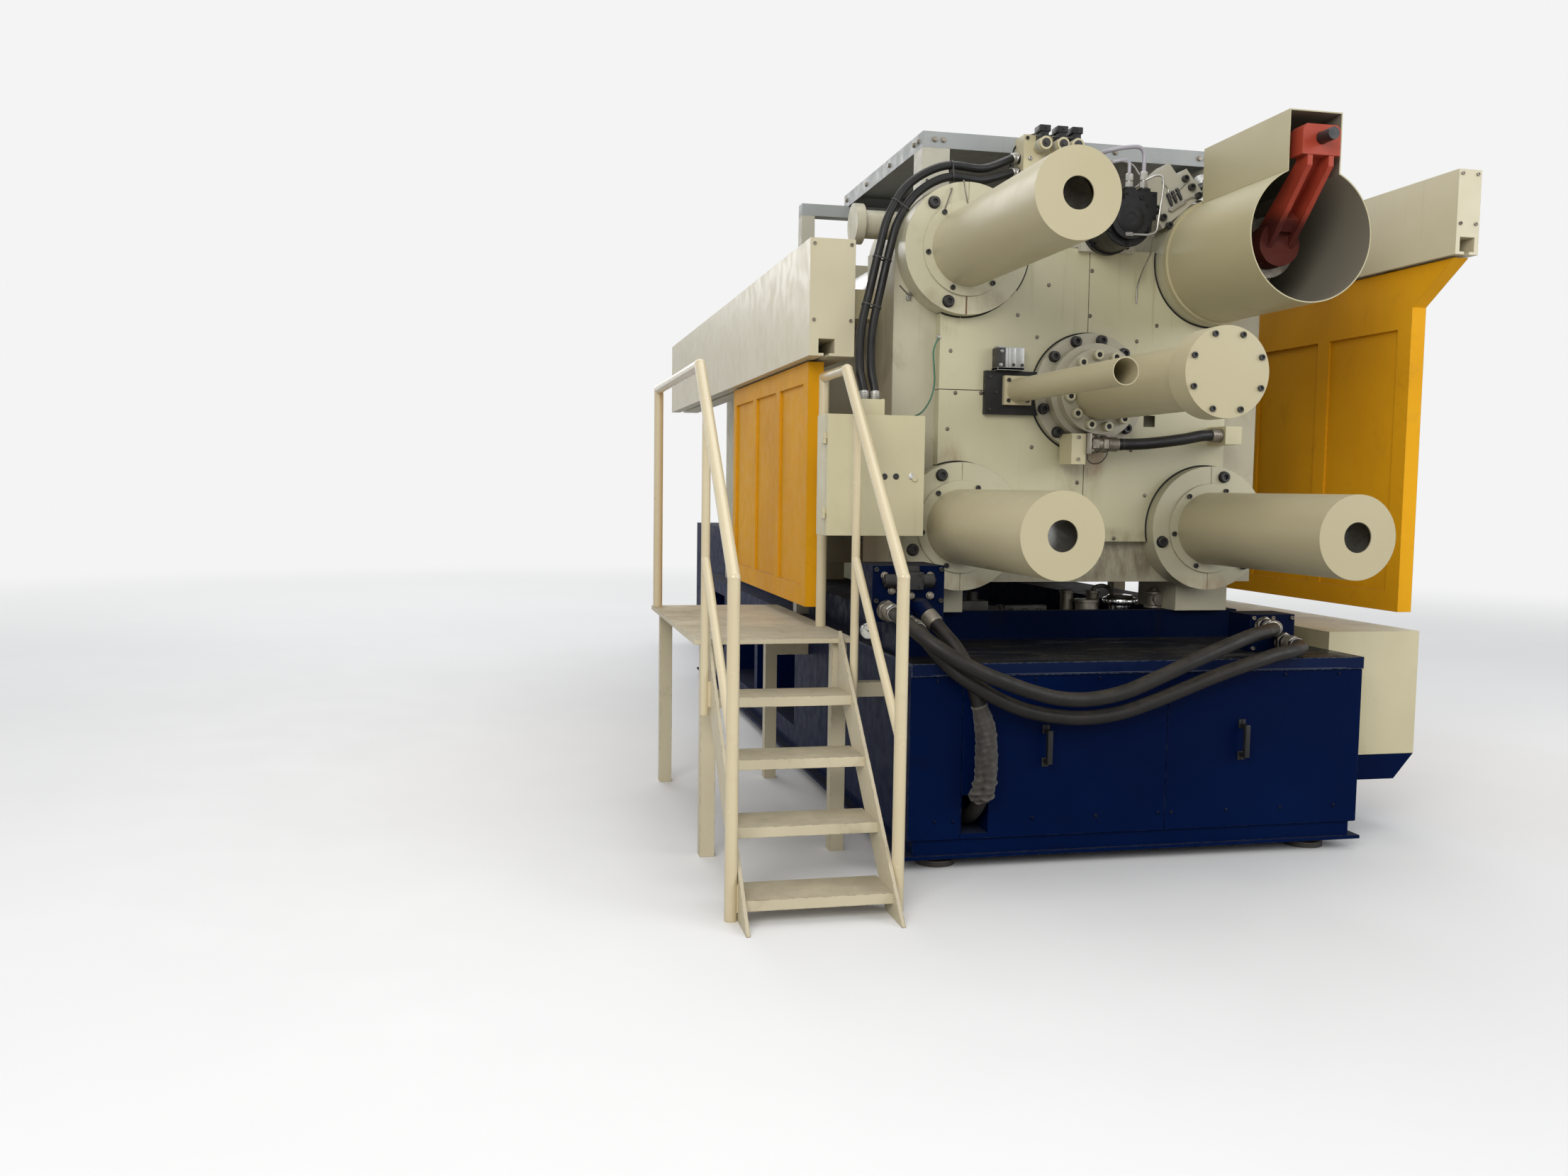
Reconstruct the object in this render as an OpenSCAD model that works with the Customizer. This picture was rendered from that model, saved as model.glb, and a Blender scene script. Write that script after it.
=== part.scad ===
// Cold-chamber die casting machine, seen first from its clamp end.
// X runs across the machine, Y along the tie bars from the clamp end to the shot end, Z up.
// Inside the modules X = 0 is the machine's centre line and Y = 0 the front of the end platen's cover.

/* [Tie bars] */
// Distance between the tie bars, both ways
bar_pitch = 1180; // [1120:10:1240]
// Diameter of a tie bar
bar_d = 250; // [220:5:260]
// Radial gap between a bar and the bores that it passes
bar_gap = 0.5; // [0.3:0.1:2]
// Height of the machine's centre line over the floor
axis_h = 1926; // [1920:2:1960]
// How far the plain bars reach in front of the end platen
bar_front = 1000; // [850:10:1080]
// Diameter of the nuts behind the fixed platen
nut_d = 390; // [350:10:420]
// Length of those nuts
nut_len = 190; // [150:10:240]

/* [End platen] */
// Width of the platens
platen_w = 1750; // [1740:10:1800]
// Thickness of the end platen
end_thick = 420; // [380:10:460]
// How far the end platen reaches below the centre line
end_drop = 839; // [826:1:856]
// How far its top between the corner bosses stands over the centre line
end_rise = 634; // [614:5:674]
// Diameter of the corner bosses
boss_d = 566; // [556:2:572]
// Depth of the sheet cover in front of the casting
cover_depth = 60; // [40:5:80]
// Half width of the sheet cover
cover_half = 683; // [670:1:690]
// How far the cover's lower edge lies below the centre line
cover_drop = 654; // [636:2:686]
// How far the cover's upper edge lies over the centre line
cover_rise = 628; // [610:1:630]
// Gap between the four cover sheets
seam = 3; // [1:0.5:5]

/* [Bar flanges and covers] */
// Diameter of the flange round each tie bar
flange_d = 555; // [540:1:560]
// How far a flange stands proud of the cover
flange_out = 62; // [40:2:80]
// Diameter of the thin ring on each flange
ring_d = 400; // [370:5:430]
// Thickness of that ring
ring_t = 12; // [8:1:20]
// Outer diameter of the bar covers
tube_d = 322; // [300:2:340]
// Wall of the bar covers
tube_wall = 6; // [3:1:10]
// Reach of the upper left bar cover
upper_tube_out = 1150; // [1100:10:1200]
// Reach of the lower bar covers
lower_tube_out = 1105; // [1090:5:1180]
// Diameter of the hole in a cover's end
tube_hole_d = 115; // [90:5:140]

/* [Tie bar puller] */
// Outer diameter of the guard round the pulled bar
guard_d = 533; // [515:1:540]
// Wall of that guard
guard_wall = 5; // [3:1:8]
// Reach of the guard in front of the cover
guard_out = 733; // [680:5:760]
// Width of the slot housing on top of the guard
slot_w = 231; // [215:1:250]
// Height of the slot housing's top over the tie bar
slot_rise = 474; // [459:5:494]
// How far in front of the cover the slot housing ends
slot_back = 100; // [90:5:140]
// Height of the pull rod over the tie bar
rod_rise = 359; // [350:1:365]
// Diameter of the pull rod
rod_d = 48; // [40:2:60]
// How far the pull rod's end stands out of the arm
rod_out = 76; // [50:2:90]
// Width of the arm's head
head_w = 164; // [140:2:180]
// Height of the arm's head
head_h = 116; // [100:2:120]
// Depth of the arm's head
head_t = 84; // [60:2:100]
// How far the arm's head stands in front of the guard's mouth
head_out = 42; // [30:2:60]
// Thickness of the arm's two ribs
rib_t = 22; // [16:1:30]
// Depth of the arm across its slope
arm_depth = 120; // [100:5:150]
// Where the pulled bar ends in front of the cover
pulled_bar_front = 430; // [400:10:450]
// Diameter of the pull cylinder
pull_cyl_d = 120; // [110:5:130]
// Length of the pull cylinder
pull_cyl_len = 1340; // [1300:10:1400]

/* [Clamp cylinder] */
// Diameter of the flange with the large bolts
hub_d = 518; // [500:2:540]
// Diameter of the stepped neck
neck_d = 420; // [400:5:440]
// Diameter of the front hub
front_hub_d = 368; // [340:2:380]
// How far the front hub stands out
hub_out = 150; // [120:5:170]
// Diameter of the cylinder's tail tube
tail_d = 250; // [230:5:270]
// Where the tail tube ends and the cap begins
tail_out = 1030; // [900:10:1080]
// Diameter of the cap
cap_d = 330; // [300:5:350]
// Length of the cap
cap_len = 120; // [80:5:160]

/* [Safety ratchet] */
// Distance of the ratchet from the centre line
ratchet_x = 342; // [330:2:346]
// Diameter of the ratchet tube
ratchet_d = 102; // [90:2:110]
// Wall of the ratchet tube
ratchet_wall = 4; // [3:1:8]
// Reach of the ratchet tube
ratchet_out = 1050; // [900:10:1100]

/* [Base] */
// Width of the base
base_w = 1972; // [1940:4:2000]
// How far the base stands in front of the cover
base_out = 625; // [600:5:650]
// Height of the deck over the front of the base
deck_top = 822; // [810:2:830]
// Thickness of the deck plate
deck_t = 10; // [8:1:14]
// Height of the deck's folded lip
lip_h = 50; // [40:2:60]
// Where the deck ends and the bed's front begins
deck_back = 130; // [110:5:150]
// Height of the bed rails
bed_top = 950; // [940:2:960]
// Height of the skid frame's top
skid_top = 123; // [118:1:130]
// Height of the skid frame's underside over the floor
skid_low = 48; // [40:2:56]
// Diameter of a levelling pad
pad_d = 160; // [140:5:180]

/* [Layout along the machine] */
// Distance from the end platen to the moving platen's pivots
toggle_span = 1330; // [1300:5:1360]
// Distance of the toggle pivots from the centre line
pivot_rise = 520; // [500:5:540]
// Thickness of the moving platen
moving_thick = 450; // [420:10:480]
// Space for the die between the platens
die_space = 1270; // [1000:10:1300]
// Thickness of the fixed platen
fixed_thick = 450; // [420:10:480]
// How far the moving and fixed platens' top stands over the centre line
platen_rise = 874; // [869:5:904]

/* [Shot end] */
// Height of the shot line below the centre line
shot_drop = 250; // [220:5:270]
// Length of the injection frame
frame_len = 1250; // [1150:10:1300]
// Diameter of the shot cylinder
shot_d = 420; // [380:10:440]
// Length of the shot cylinder
shot_len = 1180; // [1100:10:1300]
// Outer diameter of the shot sleeve
sleeve_d = 190; // [170:5:200]
// Diameter of the accumulator bottles
bottle_d = 324; // [300:4:330]
// Length of the accumulator bottles
bottle_len = 1750; // [1600:10:1900]

/* [Guards] */
// Distance of the right rail beam from the centre line
right_beam_x = 1400; // [1380:10:1440]
// Width of the rail beams
beam_w = 110; // [100:5:120]
// Height of the right rail beam's underside over the centre line
right_beam_rise = 586; // [574:4:604]
// Height of the right rail beam
right_beam_h = 352; // [340:4:360]
// How far the right rail beam stands in front of the cover
right_beam_out = 542; // [500:10:560]
// Distance of the left rail box from the centre line
left_beam_x = 1064; // [1060:2:1080]
// Width of the left rail box
left_beam_w = 196; // [190:2:200]
// Height of the left rail box's underside over the centre line
left_beam_rise = 124; // [114:2:134]
// Height of the left rail box
left_beam_h = 489; // [469:2:495]
// Where the rail beams end at the shot end
beam_end = 4500; // [4450:10:4600]
// Length of a sliding door
door_len = 1850; // [1800:10:1900]
// Thickness of a sliding door
door_t = 70; // [60:2:74]
// Gap between a door and its beam
door_gap = 8; // [6:1:12]
// Height of the doors' lower edge over the platform
door_rise = 81; // [71:5:91]
// Where the left door's near edge stands
left_door_front = 180; // [170:5:200]

/* [Ladder and platform] */
// Distance of the near handrail's plane from the centre line
rail_x = 1160; // [1155:1:1165]
// Diameter of the handrail tubes
rail_d = 45; // [38:1:48]
// Height of the platform
platform_h = 889; // [880:1:895]
// Height of one step
rise = 200; // [190:5:205]
// Width of the ladder
ladder_w = 600; // [560:10:640]
// Where the platform's edge stands in front of the cover
platform_out = 320; // [310:5:330]
// Length of the platform
platform_len = 1500; // [1400:10:1600]
// Height of the handrail over the steps
hand_h = 990; // [980:5:1000]

/* [Side cabinet] */
// Distance of the cabinet's right edge from the centre line
cabinet_x = 828; // [822:2:836]
// Width of the cabinet
cabinet_w = 412; // [400:2:420]
// How far the cabinet's underside lies below the centre line
cabinet_drop = 624; // [616:2:630]
// Height of the cabinet
cabinet_h = 492; // [480:2:500]
// Where the cabinet's door stands in front of the cover
cabinet_out = 262; // [255:1:268]
// Thickness of the cabinet's door
cabinet_door_t = 22; // [18:1:26]

/* [Roof] */
// Half width of the roof over the toggles
roof_half = 713; // [705:1:720]
// Where the roof's front stands behind the cover
roof_front = 200; // [195:1:215]
// Height of the roof's top over the end platen
roof_rise = 504; // [490:2:520]
// Height of the roof's folded rim
roof_rim = 70; // [60:2:80]
// Length of the roof
roof_len = 1340; // [1300:10:1360]
// Width of a roof post
post_w = 125; // [110:5:130]

/* [Hidden] */
$fn = 64;
seat = 0.3;
eps = 0.01;

bar_x = bar_pitch / 2;
low_bar = axis_h - bar_pitch / 2;
high_bar = axis_h + bar_pitch / 2;
bar_bore_d = bar_d + 2 * bar_gap;
end_low = axis_h - end_drop;
end_top = axis_h + end_rise;
cover_low = axis_h - cover_drop;
cover_top = axis_h + cover_rise;
slot_top = high_bar + slot_rise;
platen_top = axis_h + platen_rise;
roof_top = end_top + roof_rise;
right_beam_low = axis_h + right_beam_rise;
left_beam_low = axis_h + left_beam_rise;
left_beam_top = left_beam_low + left_beam_h;
door_low = platform_h + door_rise;
cabinet_low = axis_h - cabinet_drop;
casting_y = cover_depth;
end_back = casting_y + end_thick;
pivot_reach = 150;
rear_pivot_y = end_back + pivot_reach;
front_pivot_y = rear_pivot_y + toggle_span;
moving_y = front_pivot_y + pivot_reach;
die_y = moving_y + moving_thick;
fixed_y = die_y + die_space;
fixed_back = fixed_y + fixed_thick;
bar_end = fixed_back + nut_len + 60;
shot_z = axis_h - shot_drop;
frame_end = fixed_back + frame_len;
shot_end = frame_end + shot_len;
bed_tail = 500;
bed_end = fixed_back + bed_tail;
base_half = base_w / 2;
platen_half = platen_w / 2;
moving_low = end_low - 36;
boss_clear_d = boss_d + 2 * seat;

// Base
pad_t = 20;
stud_d = 42;
pad_x = 830;
pad_ys = [-500, 500, 1600, 3100, 4600];
rear_pad_x = 560;
rear_pad_ys = [5700, 6700];
skid_flange_t = 14;
skid_web_in = 24;
skid_flange_out = 25;
panel_t = 6;
panel_gap = 3;
panel_seam_1 = -774;
panel_seam_2 = 102;
panel_face = -base_out - panel_t;
tank_back = 1300;
deck_low = deck_top - deck_t;
deck_front = -base_out - 15;
lip_t = 8;
hole_x0 = -768;
hole_x1 = -657;
hole_z0 = 147;
hole_z1 = 300;
hole_depth = 250;
handle_xs = [-424, 436];
handle_z0 = 428;
handle_z1 = 548;
handle_out = 42;
handle_d = 14;
bed_bays = 3;
bed_rib = 90;
bed_pocket = 250;
bed_pitch = (bed_end - tank_back - bed_rib) / bed_bays;
rail_in = 480;
rail_out = 860;
bed_front_t = 40;
pan_y0 = -400;
pan_y1 = 1200;
pan_low = 242;
pan_seam = 354;
pan_top = 900;
pan_x1 = 1433;
pan_taper = 95;

// End platen and its parts
sheet_t = 4;
flange_gap = 4;
cover_slot = [282, 337, axis_h - 140, axis_h - 90];
shoe_in = 520;
shoe_out = 780;
shoe_set = 30;
split_w = 3;
trunnion_y = 150;
trunnion_z = end_top + 75;
trunnion_d = 120;
trunnion_cap_d = 172;
trunnion_in = 740;
trunnion_out = 1000;
trunnion_cap_out = 1040;

// Tie bar puller
rod_z = high_bar + rod_rise;
head_y = -guard_out - head_out;
head_back = head_y + head_t;
head_low = rod_z - 64;
head_chamfer = 16;
rib_x = 46;
web_t = 16;
foot_d = 180;
neck_len = 40;
bridge_at = 0.62;
bridge_len = 60;
bridge_depth = 0.65 * arm_depth;
foot_t = 90;
guard_foot_t = 30;
guard_foot_d = flange_d - 2;
slot_in = slot_w / 2 - guard_wall;
rod_hole_d = rod_d + 20;
pull_cyl_y = 100;
piston_y = 1200;
piston_t = 60;
pull_bore_d = 100;
gland_t = 60;
collar_d = 72;
collar_t = 30;
pull_block = [120, 420];

// Clamp cylinder, ratchet and hydraulics
hub_flange_out = 40;
neck_out = 100;
clamp_body_d = 300;
clamp_body_end = 700;
clamp_rod_d = 110;
crosshead_y = 900;
port_x0 = -136;
port_x1 = -70;
port_z0 = axis_h - 316;
port_z1 = axis_h - 184;
port_y0 = -165;
adaptor_d = 56;
end_port_w = 80;
end_port_half = 40;
ratchet_plate_t = 30;
ratchet_plate_out = 140;
ratchet_plate_z0 = axis_h - 103;
ratchet_plate_z1 = axis_h + 84;
ratchet_pad = 125;
ratchet_pad_t = 25;
latch_x = -444;
latch_z = ratchet_plate_z1 + seat;
latch_w = 123;
latch_depth = 70;
latch_foot_t = 12;
latch_body_w = 83;
latch_body_h = 86;
motor_x = 60;
motor_z = end_top + 80;
motor_flange_d = 235;
motor_body_d = 220;
motor_end_d = motor_body_d - 50;
motor_plate_t = 30;
motor_plate_back = 240;
motor_flange_out = 60;
motor_body_out = 230;
motor_end_out = 255;
valve_body_x = motor_x - 25;
valve_body_w = 148;
valve_body_low = motor_z + 3;
valve_body_top = motor_z + 118;
valve_body_front = -242;
valve_foot = [14, 102, 50];
port_w = 44;
port_h = 22;
port_y = -185;
port_xs = [motor_x + 20, motor_x + 87];
shelf_x0 = -60;
shelf_x1 = 195;
shelf_low = end_top - 22;
shelf_rise = 60;
shelf_top_t = 25;
manifold_x0 = -315;
manifold_x1 = -75;
manifold_z = end_top + 270;
manifold_top = manifold_z + 200;
manifold_y0 = 20;
manifold_y1 = 120;
valve_d = 56;
valve_out = 80;
valve_xs = [-246, -166, -98];
valve_rise = 150;
connector_h = 70;
connector_half = 16;
lock_turn = 40;
lock_half = 125;
lock_depth = 137;
lock_body_half = 73;
lock_body_depth = 207;

// Toggle
lug_d = 180;
pin_d = 90;
lug_outer = 115;
lug_inner = 55;
link_half = 50;
link_w = 130;
link_eye = 170;
toggle_x = 300;
rear_link_len = 640;
front_link_len = 760;
knee_run = (rear_link_len * rear_link_len - front_link_len * front_link_len + toggle_span * toggle_span)
  / (2 * toggle_span);
knee_rise = pivot_rise - sqrt(rear_link_len * rear_link_len - knee_run * knee_run);
small_link_t = 25;
small_link_w = 80;
small_pin_d = 50;
small_pin_at = 0.75;
crosshead_t = 160;
crosshead_half_w = toggle_x + link_half;
crosshead_half_h = 195;
slot_xs = [-375, -225, 225, 375];
slot_depth = 40;
slot_half = 14;

// Shot end
arm_in = 330;
arm_out = 450;
arm_half_h = 150;
shot_plate_t = 120;
shot_plate_top = shot_z + 300;
rear_base_half = 700;
rear_base_top = shot_z - 526;
rear_edge = shot_end + 200;
sleeve_out = 420;
sleeve_end = fixed_back + sleeve_out;
sleeve_bore_d = 130;
pour_half = 45;
pour_start = 120;
pour_len = 120;
pour_ys = [fixed_back + pour_start, fixed_back + pour_start + pour_len];
plunger_d = 90;
tip_len = 100;
tip_in = 60;
shot_flange_d = shot_d + 100;
shot_flange_t = 80;
saddle_half = 150;
saddle_t = 120;
saddle_ys = [frame_end + 120, shot_end - 260];
bottle_x = 500;
bottle_first = 330;
bottle_pitch = 400;
bottle_ys = [frame_end + bottle_first, frame_end + bottle_first + bottle_pitch];

// Roof, rails and doors
right_post_x = 655;
post_y1 = roof_front + post_w;
roof_end = roof_front + roof_len;
column_in = 895;
column_out = 965;
column_t = 80;
cross_beam_h = 60;
channel_w = 70;
channel_h = 60;
lip_floor = 12;
slit_w = 24;
stem_w = 12;
stem_half = 40;
wheel_d = 40;
wheel_t = 18;
right_door_x = right_beam_x + beam_w / 2;
left_door_x = -1185;
right_door_front = -267;
right_nose = 246;
right_nose_drop = 176;
door_frame = 90;
door_pocket = 12;
door_bays = 3;
hanger_in = 200;
bracket_ys = [300, fixed_y + 120];
bracket_len = 140;
bracket_h = 130;
right_bracket_up = 60;
left_bracket_up = 200;

// Side cabinet
case_t = 4;
cabinet_left = -cabinet_x - cabinet_w;
cabinet_top = cabinet_low + cabinet_h;
door_clear = 5;
cabinet_front = -cabinet_out + cabinet_door_t + door_clear;
cabinet_back = -90;
hinge_x = cabinet_left - 8;
hinge_y = -cabinet_out + 12;
hinge_zs = [cabinet_low + 70, cabinet_top - 120];
hinge_d = 8;
knuckle_d = 15;
knuckle_h = 25;
leaf_h = 20;
cabinet_arm_low = 190;
cabinet_arm_h = 150;
cabinet_arm_len = 240;
lock_in = 42;
lock_z = 235;
lock_d = 24;
gland_x0 = -1100;
gland_x1 = -990;
gland_y0 = -220;
gland_y1 = -130;
gland_top = cabinet_top + 66;

// Ladder, platform and handrails
ladder_left = rail_x + ladder_w;
stringer_t = 14;
stringer_up = 30;
stringer_drop = 170;
stringer_set = rail_d / 2 + 0.5;
tread_t = 38;
tread_len = 210;
tread_count = 4;
platform_t = 20;
leg_w = 60;
leg_ys = [-280, 1080];
platform_right = 1130;
brace_z0 = 640;
stringer_front = -platform_out - platform_h - stringer_up;
post_foot_y = stringer_front + 179;
post_top_y = -platform_out - 110;
rail_top_z = platform_h + hand_h + 93;
rail_bend_rise = 785;
rail_bend_run = 810;
rail_slope = rail_bend_rise / rail_bend_run;
lower_bend_z = rail_top_z - rail_bend_rise;
rail_bend_y = post_foot_y + (rail_top_z - lower_bend_z) / rail_slope;
mid_drop = 580;
post_drop = 280;
tab_h = 100;
tab_zs = [30, platform_h - 249];
mid_d = rail_d - 11;
ball_d = rail_d + 2;
right_rail_end = 130;
left_rail_end = 1120;

// Valve stand and return block on the deck
stand_x0 = -960;
stand_x1 = -780;
stand_face = -420;
stand_back = -140;
stand_top = 965;
valve_x0 = -1090;
valve_x1 = -790;
valve_face = -430;
valve_top = 1190;
fitting_d = 70;
elbow_len = 45;
gauge_x = -1100;
gauge_z = 928;
gauge_d = 63;
return_x0 = 590;
return_x1 = 800;
return_back = -250;
return_top = 980;

// Hoses: the points on their centre lines
supply_d = 58;
clamp_hose_d = 50;
side_hose_d = 36;
upper_hose = [
  [-1031, -470.3, 1011], [-1031, -505, 1011], [-1034, -590, 1006], [-1018, -682, 980],
  [-970, -757, 931], [-890, -802, 874], [-790, -820, 820], [-680, -821, 775], [-560, -813, 733],
  [-440, -806, 704], [-310, -799, 699], [-170, -793, 723], [-25, -789, 777], [130, -783, 840],
  [290, -757, 895], [430, -700, 926], [550, -616, 932], [650, -503, 930], [650, -452, 930]
];
lower_hose = [
  [-930, -462.3, 950], [-930, -497, 950], [-934, -575, 940], [-925, -655, 905], [-893, -717, 852],
  [-838, -755, 797], [-756, -769, 743], [-662, -760, 692], [-564, -748, 653], [-446, -739, 626],
  [-315, -735, 614], [-170, -735, 628], [-35, -735, 666], [105, -735, 716], [250, -732, 768],
  [390, -731, 812], [513, -719, 845], [602, -701, 858], [677, -651, 862], [727, -576, 862],
  [745, -487, 862], [745, -452, 862]
];
sleeved_hose_path = [
  [-880, -500, 1000], [-866, -527, 977], [-838, -583, 930], [-811, -639, 884], [-785, -680, 826],
  [-760, -698, 757], [-737, -702, 683], [-714, -700, 606], [-699, -698, 528], [-694, -700, 450],
  [-697, -697, 372], [-702, -675, 307], [-708, -635, 251], [-712, -581, 209], [-714, -516, 185],
  [-715, -468, 180], [-715, -378, 180]
];
sleeved_hose_ds = [58, 58, 58, 58, 58, 58, 60, 78, 84, 82, 74, 59, 58, 58, 58, 58, 58];
clamp_hose = raised([
  [43.3, -130, -226], [90, -130, -226], [230, -128, -220], [402, -122, -198], [500, -114, -180],
  [560, -110, -176], [600, -110, -176]
]);
side_hose_1 = raised([
  [-315.3, 70, 949], [-350, 70, 949], [-505, 14, 896], [-672, -10, 892], [-805, -20, 817],
  [-888, -30, 700], [-927, -40, 574], [-965, -50, 414], [-1008, -80, 234], [-1030, -145, 74],
  [-1022, -175, -26], [-1022, -175, -65.7]
]);
side_hose_2 = raised([
  [-315.3, 70, 1009], [-350, 70, 1009], [-500, 18, 946], [-682, -8, 940], [-840, -20, 854],
  [-930, -30, 719], [-972, -40, 576], [-1011, -50, 414], [-1057, -80, 234], [-1079, -145, 74],
  [-1070, -175, -26], [-1070, -175, -65.7]
]);

left_edge = -ladder_left - ball_d / 2;
right_edge = right_beam_x + beam_w;
front_edge = stringer_front;
mid_x = (left_edge + right_edge) / 2;
mid_y = (front_edge + rear_edge) / 2;

cream = [0.80, 0.76, 0.62];
navy = [0.03, 0.06, 0.28];
steel = [0.62, 0.63, 0.64];
dark = [0.08, 0.08, 0.09];
red = [0.72, 0.16, 0.10];
yellow = [0.93, 0.62, 0.05];
alloy = [0.78, 0.79, 0.80];
grey = [0.35, 0.34, 0.33];

// From the machine's own centre lines to the middle of its footprint
module set_down() translate([-mid_x, -mid_y, 0]) children();

// A solid between two corners
module block(x0, x1, y0, y1, z0, z1)
  translate([x0, y0, z0]) cube([x1 - x0, y1 - y0, z1 - z0]);

// A round bar along Y, X or Z
module bar_y(x, z, y0, y1, d)
  translate([x, y0, z]) rotate([-90, 0, 0]) cylinder(h = y1 - y0, d = d);

module bar_x_dir(y, z, x0, x1, d)
  translate([x0, y, z]) rotate([0, 90, 0]) cylinder(h = x1 - x0, d = d);

module bar_z(x, y, z0, z1, d)
  translate([x, y, z0]) cylinder(h = z1 - z0, d = d);

// An outline in X and Z, extruded along Y
module along_y(y0, y1)
  translate([0, y1, 0]) rotate([90, 0, 0]) linear_extrude(y1 - y0) children();

// An outline in Y and Z, extruded along X
module along_x(x0, x1)
  translate([x0, 0, 0]) rotate([90, 0, 90]) linear_extrude(x1 - x0) children();

// A block from one side distance to another, on both sides of the centre line
module both_sides(x_in, x_out, y0, y1, z0, z1) {
  block(x_in, x_out, y0, y1, z0, z1);
  block(-x_out, -x_in, y0, y1, z0, z1);
}

module rod_between(a, b, d) {
  v = b - a;
  length = norm(v);
  translate(a) rotate([0, acos(v.z / length), atan2(v.y, v.x)]) cylinder(h = length, d = d);
}

// A tube through points, with a weld ball at each bend
module rail_path(points, d, ball) {
  for (i = [0 : len(points) - 2]) rod_between(points[i], points[i + 1], d);
  for (i = [1 : len(points) - 2]) translate(points[i]) sphere(d = ball);
}

// A hose swept through its points; each ring carries its frame on from the one before
function unit(v) = v / norm(v);

function carried(side, t) = unit(side - (side * t) * t);

function frames(ts, i, side) =
  i == len(ts) ? [] : let (s = carried(side, ts[i])) concat([s], frames(ts, i + 1, s));

// A route given from the height of the centre line
function raised(route) = [for (p = route) [p.x, p.y, axis_h + p.z]];

module hose(route, d, first_side, sides = 8) {
  last = len(route) - 1;
  radii = is_list(d) ? d / 2 : [for (i = [0 : last]) d / 2];
  ts = [for (i = [0 : last]) unit(route[min(i + 1, last)] - route[max(i - 1, 0)])];
  sides_at = frames(ts, 0, first_side);
  rings = [for (i = [0 : last]) for (k = [0 : sides - 1])
    route[i] + radii[i] * (cos(k * 360 / sides) * sides_at[i]
      + sin(k * 360 / sides) * cross(sides_at[i], ts[i]))];
  walls = [for (i = [0 : last - 1]) for (k = [0 : sides - 1])
    let (k2 = (k + 1) % sides)
    [i * sides + k, i * sides + k2, (i + 1) * sides + k2, (i + 1) * sides + k]];
  caps = [[for (k = [sides - 1 : -1 : 0]) k], [for (k = [0 : sides - 1]) last * sides + k]];
  polyhedron(points = rings, faces = concat(walls, caps), convexity = 8);
}

// Footing and base

module base_tank() color(navy) set_down() difference() {
  block(-base_half, base_half, -base_out, tank_back, skid_top, deck_low);
  block(hole_x0, hole_x1, -base_out - 1, -base_out + hole_depth, hole_z0, hole_z1);
}

module handle(x)
  rail_path([[x, panel_face + eps, handle_z0], [x, panel_face - handle_out, handle_z0],
    [x, panel_face - handle_out, handle_z1], [x, panel_face + eps, handle_z1]], handle_d, handle_d + 1);

module front_panels() color(navy) set_down() {
  difference() {
    for (edges = [[-base_half, panel_seam_1], [panel_seam_1 + panel_gap, panel_seam_2],
                  [panel_seam_2 + panel_gap, base_half]])
      block(edges[0], edges[1], panel_face, -base_out, skid_top + panel_gap, deck_top - lip_h - panel_gap);
    block(hole_x0, hole_x1, panel_face - 1, -base_out + 1, hole_z0, hole_z1);
  }
  for (x = handle_xs) handle(x);
}

module deck_plate() color(dark) set_down() {
  block(-base_half, base_half, deck_front, deck_back, deck_low, deck_top);
  block(-base_half, base_half, deck_front, deck_front + lip_t, deck_top - lip_h, deck_low + eps);
}

module skid_frame() color(navy) set_down() {
  block(-base_half + skid_web_in, base_half - skid_web_in, -base_out + 8, bed_end,
    skid_low + skid_flange_t - eps, skid_top);
  block(-base_half - skid_flange_out, base_half + skid_flange_out, panel_face, bed_end,
    skid_low, skid_low + skid_flange_t);
  block(-rear_base_half, rear_base_half, bed_end - eps, rear_edge, skid_low, skid_top);
}

module pads_at(x, ys)
  for (y = ys) for (s = [-1, 1]) {
    bar_z(s * x, y, 0, pad_t, pad_d);
    bar_z(s * x, y, pad_t - eps, skid_low, stud_d);
  }

module levelling_pads() color(dark) set_down() {
  pads_at(pad_x, pad_ys);
  pads_at(rear_pad_x, rear_pad_ys);
}

module main_bed() color(navy) set_down() difference() {
  block(-base_half, base_half, tank_back, bed_end, skid_top, deck_low);
  for (i = [0 : bed_bays - 1])
    both_sides(base_half - bed_pocket, base_half + 1, tank_back + bed_rib + i * bed_pitch,
      tank_back + (i + 1) * bed_pitch, skid_top + bed_rib, deck_low - bed_rib);
}

module bed_rails() color(navy) set_down() {
  block(-rail_out, rail_out, deck_back, deck_back + bed_front_t, deck_low, bed_top);
  both_sides(rail_in, rail_out, deck_back + bed_front_t - eps, fixed_y, deck_low, bed_top);
}

// End platen

module toggle_lugs(y_face, y_pivot, halves)
  for (side = [-1, 1]) for (x = [-toggle_x, toggle_x]) for (h = halves)
    along_x(x + h[0], x + h[1]) difference() {
      union() {
        translate([y_pivot, axis_h + side * pivot_rise]) circle(d = lug_d);
        translate([min(y_face, y_pivot), axis_h + side * pivot_rise - lug_d / 2])
          square([abs(y_pivot - y_face), lug_d]);
      }
      translate([y_pivot, axis_h + side * pivot_rise]) circle(d = pin_d + 2 * bar_gap);
    }

module at_bars() for (x = [-bar_x, bar_x]) for (z = [low_bar, high_bar]) translate([x, 0, z]) children();

module bars_along(y0, y1, d) at_bars() bar_y(0, 0, y0, y1, d);

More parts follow.
